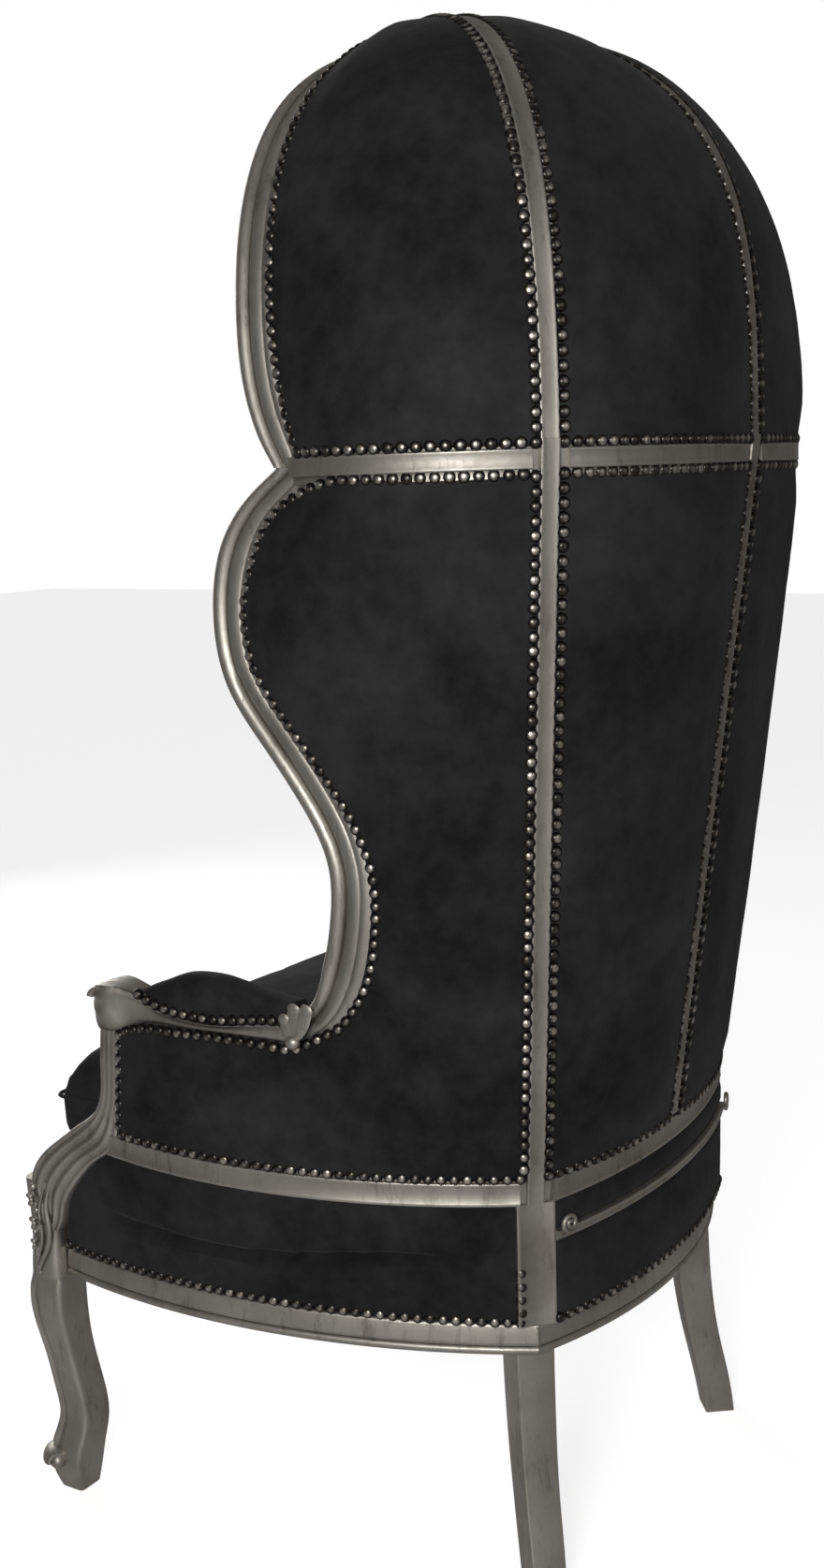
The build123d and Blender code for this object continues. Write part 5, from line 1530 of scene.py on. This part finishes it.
# Half its outline is drawn from the middle of the front, then mirrored, and its corners are softened
def seatLoop(inset, frontX, frontY, corner):
    frontX, frontY, stepY = frontX - inset, frontY + inset, seatLook["stepY"] - inset
    sideInset, backInset = seatLook["side"] + inset, seatLook["back"] + inset
    foot, bow, count = chair["postFoot"], seatLook["bow"], seatLook["points"]
    side = (337.0 - sideInset, stepY)
    top, out = bowedTop((337.0, -267.0), onRib(rear, foot), 50.0)
    wall = arcThrough(side, top - out * sideInset, onRib(rear, foot - sideInset), 60)
    a, b = onRib(rear, foot - backInset), onRib(0, chair["backFoot"] - backInset)
    # The back's arc is drawn round (0, middle)
    middle = (b[1] ** 2 - a[0] ** 2 - a[1] ** 2) / (2 * (b[1] - a[1]))
    radius = b[1] - middle
    wall = [(x, y) for x, y in wall if x ** 2 + (y - middle) ** 2 < radius ** 2]
    turn = math.atan2(wall[-1][0], wall[-1][1] - middle)
    half = list(arcThrough((0, frontY - bow), (frontX * 0.5, frontY - bow * 0.75), (frontX, frontY), 40))
    half += [(frontX, y) for y in np.linspace(frontY, stepY, 12)[1:]]
    half += [(mix(frontX, side[0], s), stepY) for s in np.linspace(0, 1, 6)[1:-1]]
    half += wall
    half += [(radius * math.sin(w), middle + radius * math.cos(w)) for w in np.linspace(turn, 0, 40)[1:]]
    full = half + [(-x, y) for x, y in half[::-1]][1:-1]
    loop = evenly(closeLoop(np.array(full)), count + 1)[:-1]
    reach = max(1, int(corner / (lineLength(closeLoop(loop)) / count) / 1.5))
    return sum(np.roll(loop, k, axis=0) for k in range(-reach, reach + 1)) / (2 * reach + 1)


# A flat pad over (height, inset) levels, closed below and crowned above
def flatPad(name, loopAt, levels, material, crown=0.0, body="chair"):
    rings = [[(x, y, z) for x, y in loopAt(inset)] for z, inset in levels]
    count = len(rings[0])
    verts = [p for ring in rings for p in ring]
    faces = gridFaces(len(rings), count, True)
    for end, rise in ((0, 0.0), (len(rings) - 1, crown)):
        previous, z = end * count, levels[end][0]
        x, y = np.array(rings[end])[:, :2].mean(axis=0)
        for share in (0.9, 0.78, 0.62, 0.45, 0.28, 0.12):
            start = len(verts)
            up = z + rise * (1 - share ** 2)
            verts += [(x + (p[0] - x) * share, y + (p[1] - y) * share, up) for p in rings[end]]
            for i in range(count):
                following = (i + 1) % count
                faces.append((previous + i, previous + following, start + following, start + i))
            previous = start
        verts.append((x, y, z + rise))
        faces += [(previous + i, previous + (i + 1) % count, len(verts) - 1) for i in range(count)]
    return makeMesh(name, (verts, faces), material, body, 60)


def deckLoop(inset):
    return seatLoop(inset, 283.0, -355.0, 8.0)


def cushionLoop(inset):
    return seatLoop(inset, 290.0, -385.0, 26.0)


deckLevels = [(410.4, 3.0), (411.5, 0.8), (414.0, 0.3), (424.0, 0.3), (428.0, 1.6), (429.6, 5.0)]
place(flatPad("deck_pad_cloth", deckLoop, deckLevels, liningCloth), "deck_fabric", "deck_pad", 0.9)

# Loose cushion: shaped a little small, then blown up as cloth
# Its lower levels are (height over the underside, inset), its upper ones (depth under the top, inset)
cushionLook = {"low": 430.6, "high": 538.6, "crown": 9.0, "shrink": 5.0, "voxel": 0.006, "pressure": 4.0,
               "cap": 0.007, "stiffness": 12, "bending": 1.2, "mass": 0.25, "frames": 20,
               "weltUp": 54.0, "weltIn": 5.5, "weltRadius": 2.6,
               "lower": [(0.8, 12.0), (3.0, 5.0), (9.0, 1.0), (18.0, 0.0), (50.0, -0.5)],
               "upper": [(52.0, 0.0), (36.0, 4.0), (22.0, 11.0), (11.0, 21.0), (3.0, 36.0)]}
low, high, shrink = cushionLook["low"], cushionLook["high"], cushionLook["shrink"]
levels = [(low + up, shrink + d) for up, d in cushionLook["lower"]]
levels += [(high - down, shrink + d) for down, d in cushionLook["upper"]]
cushion = flatPad("cushion_velvet", cushionLoop, levels, innerVelvet, cushionLook["crown"], "cushion")


def inflate(obj):
    remesh = obj.modifiers.new("remesh", "REMESH")
    remesh.mode = "VOXEL"
    remesh.voxel_size = cushionLook["voxel"]
    bpy.context.view_layer.objects.active = obj
    bpy.ops.object.select_all(action="DESELECT")
    obj.select_set(True)
    bpy.ops.object.modifier_apply(modifier=remesh.name)
    before = np.array([v.co for v in obj.data.vertices])
    cloth = obj.modifiers.new("cloth", "CLOTH")
    cloth.settings.use_pressure = True
    cloth.settings.uniform_pressure_force = cushionLook["pressure"]
    cloth.settings.tension_stiffness = cushionLook["stiffness"]
    cloth.settings.compression_stiffness = cushionLook["stiffness"]
    cloth.settings.bending_stiffness = cushionLook["bending"]
    cloth.settings.mass = cushionLook["mass"]
    cloth.settings.effector_weights.gravity = 0
    for moment in range(1, cushionLook["frames"] + 1):
        bpy.context.scene.frame_set(moment)
    blown = obj.evaluated_get(bpy.context.evaluated_depsgraph_get()).to_mesh()
    move = np.array([v.co for v in blown.vertices]) - before
    bpy.context.scene.frame_set(1)
    obj.modifiers.remove(cloth)
    length = np.linalg.norm(move, axis=1)
    after = before + move * np.minimum(1.0, cushionLook["cap"] / np.maximum(length, 1e-9))[:, None]
    after[:, 2] = np.maximum(after[:, 2], cushionLook["low"] * mm + 0.0002)
    obj.data.vertices.foreach_set("co", after.ravel())
    obj.data.update()
    for p in obj.data.polygons:
        p.use_smooth = True


inflate(cushion)
print("cushion blown up")
place(cushion, "inner_fabric", "seat_cushion", 0.8)

# Piping round the cushion's middle
z, radius = low + cushionLook["weltUp"], cushionLook["weltRadius"]
line = closeLoop(np.array([(x, y, z) for x, y in cushionLoop(cushionLook["weltIn"])]))
ways = tangents(line)
ways[0] = unit(line[1] - line[-2])
upright = np.array([0, 0, 1.0])
sections = []
for p, t in zip(line[:-1], ways):
    out = unit(np.cross(t, upright))
    sections.append([tuple(p + (out * math.cos(w) + upright * math.sin(w)) * radius)
                     for w in np.linspace(0, 2 * math.pi, 8, endpoint=False)])
verts, faces = skin(sections, caps=False)
last = len(verts) - 8
faces += [(last + k, last + (k + 1) % 8, (k + 1) % 8, k) for k in range(8)]
place(makeMesh("cushion_welt", (verts, faces), innerVelvet, "cushion"), "inner_fabric")

# Arm pads: a roll of upholstery on the rail, nailed along its lower edge
armPadLook = {"middle": 321.0, "half": 20.5, "nailRise": 5.0, "top": [
    (-1.0, -0.1), (-0.97, 0.2), (-0.9, 0.42), (-0.82, 0.56), (-0.68, 0.82), (-0.51, 0.93),
    (-0.41, 0.92), (-0.2, 0.75), (0.1, 0.55)]}
rollTop = smoothLine([(-5.0 + a * 195.0, 640.0 + b * 42.0) for a, b in armPadLook["top"]], 90)
sections, middle = [], armPadLook["middle"]
for y in np.linspace(-199.0, 14.0, 64):
    under = valueAt(armTop, y) - 0.5
    height = max(valueAt(rollTop, y), under + 2.0) - under
    ends = math.sqrt(max(0.02, 1 - (1 - min(1.0, (y + 199.5) / 24.0)) ** 2))
    half = armPadLook["half"] * (0.55 + 0.45 * ends)
    section = []
    for w in np.linspace(0, 180, 25):
        c, s = math.cos(math.radians(w)), abs(math.sin(math.radians(w))) ** 0.75
        c = math.copysign(abs(c) ** 0.55, c)
        section.append((middle + half * c, y, under + height * s * (0.2 + 0.8 * ends) + 0.4))
    sections.append(section + [(middle + half * side, y, under - 0.6) for side in (-0.6, 0.6)])
armPad = makeMesh("left_arm_velvet", skin(sections), innerVelvet, sharp=80)
place(armPad, "inner_fabric", "left_arm_pad", 0.85)
edge = middle + armPadLook["half"] - 0.2
nailRow("armPad", [((edge, y, valueAt(armTop, y) + armPadLook["nailRise"]), (1.0, 0.0, 0.1))
                   for y in np.linspace(-190.0, 8.0, 40)])

# Front apron, nailed along the rail and beside the leg blocks
frontLine = arcThrough((296.0, -376.0), (0.0, -388.0), (-296.0, -376.0), 200)


def frontSurface(s, t):
    x = mix(295.5, -295.5, s)
    y = float(np.interp(-x, -frontLine[:, 0], frontLine[:, 1]))
    return np.array([x, y + 0.5 - 5.0 * math.sin(math.pi * t), mix(314.5, 399.8, t)])


frontApron = fourSided("front_apron_velvet", frontSurface, 3.0, 22, 90, "frontApron", nails="blr", crown=1.0)
place(frontApron, "outer_fabric", "front_apron_panel")
print("seat and arms upholstered")

for region in nailSpots:
    makeNails(region, twin=region not in ("rearApron", "frontApron"))
print("nails made")


# CAD pieces whose shape is right as it is
def dress(name, material):
    obj = bpy.data.objects[name]
    for slot in obj.material_slots:
        slot.material = material
    if not obj.material_slots:
        obj.data.materials.append(material)


dress("front_seat_rail", silverLeaf)
dress("crown_block", silverLeaf)
dress("seat_deck", innerVelvet)
for corner in ("rear_left", "rear_right", "front_left", "front_right"):
    dress(corner + "_corner_block", plainTimber)

# Floor, light and camera; each light is (place, target, size, power)
roomLook = {"surround": 0.2, "backdrop": 1.0, "floor": (0.62, 0.62, 0.62, 1), "floorGlow": 0.78, "lights": {
    "key": ((2.6, 1.1, 1.5), (0, 0, 1.1), 0.7, 48.0),
    "fill": ((0.9, 2.9, 1.6), (0, 0, 0.9), 1.8, 7.0),
    "top": ((0.2, -0.2, 3.6), (0, 0, 0.9), 2.2, 2.0),
    "front": ((-1.2, -3.0, 1.7), (0, 0, 0.9), 2.4, 40.0)}}


def areaLight(name):
    spot, target, size, power = roomLook["lights"][name]
    data = bpy.data.lights.new(name, "AREA")
    data.shape = "DISK"
    data.size = size
    data.energy = power
    lamp = linked(name, data)
    lamp.location = spot
    lamp.rotation_euler = (Vector(target) - Vector(spot)).to_track_quat("-Z", "Y").to_euler()
    return lamp


floorMaterial, tree, shader = newMaterial("paleFloor")
seen = node(tree, "LightPath", {}).outputs["Is Camera Ray"]
feed(tree, shader, {"Base Color": roomLook["floor"], "Roughness": 0.6, "Emission Color": (1, 1, 1, 1),
                    "Emission Strength": maths(tree, "MULTIPLY", seen, roomLook["floorGlow"])})
floorMesh = bpy.data.meshes.new("floor")
corners = ((-14, -14), (14, -14), (14, 14), (-14, 14))
floorMesh.from_pydata([(x, y, -0.0005) for x, y in corners], [], [(0, 1, 2, 3)])
floorMesh.materials.append(floorMaterial)
floor = linked("floor", floorMesh)

# Seen in the metal: a room that is lightest at one level; seen behind the chair: plain white
world = bpy.data.worlds.new("studio")
world.use_nodes = True
tree = world.node_tree
spot = node(tree, "TexCoord", {}).outputs["Generated"]
turn = (0, math.radians(90), 0)
turned = node(tree, "Mapping", {"Rotation": turn, "Location": (0.5, 0, 0), "Vector": spot})
sky = node(tree, "TexGradient", {"Vector": turned.outputs[0]}).outputs["Fac"]
skyTone = ramp(tree, sky, [(0.0, (0.5, 0.5, 0.5)), (0.45, (1, 1, 1)), (0.75, (0.6, 0.6, 0.6))])
surround = tree.nodes["Background"]
feed(tree, surround, {"Strength": roomLook["surround"], "Color": skyTone})
backdrop = node(tree, "Background", {"Color": (1, 1, 1, 1), "Strength": roomLook["backdrop"]})
seen = node(tree, "LightPath", {}).outputs["Is Camera Ray"]
chosen = node(tree, "MixShader", {0: seen, 1: surround.outputs[0], 2: backdrop.outputs[0]})
feed(tree, tree.nodes["World Output"], {"Surface": chosen.outputs[0]})
bpy.context.scene.world = world
bpy.context.scene.view_settings.view_transform = "Standard"

# The photo's camera, as solved from it
cameraLook = {"place": (1.7909, 1.1115, 1.2063), "yaw": 0.99928, "pitch": 0.170977,
              "roll": -0.0346106, "lens": 41.42}
yaw, pitch, roll = cameraLook["yaw"], cameraLook["pitch"], cameraLook["roll"]
forward = Vector((-math.sin(yaw) * math.cos(pitch), -math.cos(yaw) * math.cos(pitch), -math.sin(pitch)))
level = forward.cross(Vector((0, 0, 1))).normalized()
upright = level.cross(forward)
right = level * math.cos(roll) + upright * math.sin(roll)
above = upright * math.cos(roll) - level * math.sin(roll)
data = bpy.data.cameras.new("camera")
data.lens = cameraLook["lens"]
data.sensor_width = 36.0
data.clip_end = 60
camera = linked("camera", data)
turned = Matrix((right, above, -forward)).transposed().to_4x4()
camera.matrix_world = Matrix.Translation(cameraLook["place"]) @ turned
bpy.context.scene.camera = camera
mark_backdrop(floor, *(areaLight(name) for name in roomLook["lights"]))

low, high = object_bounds()
{"cad": [list(cadLow), list(cadHigh)], "visual": [list(low), list(high)]}
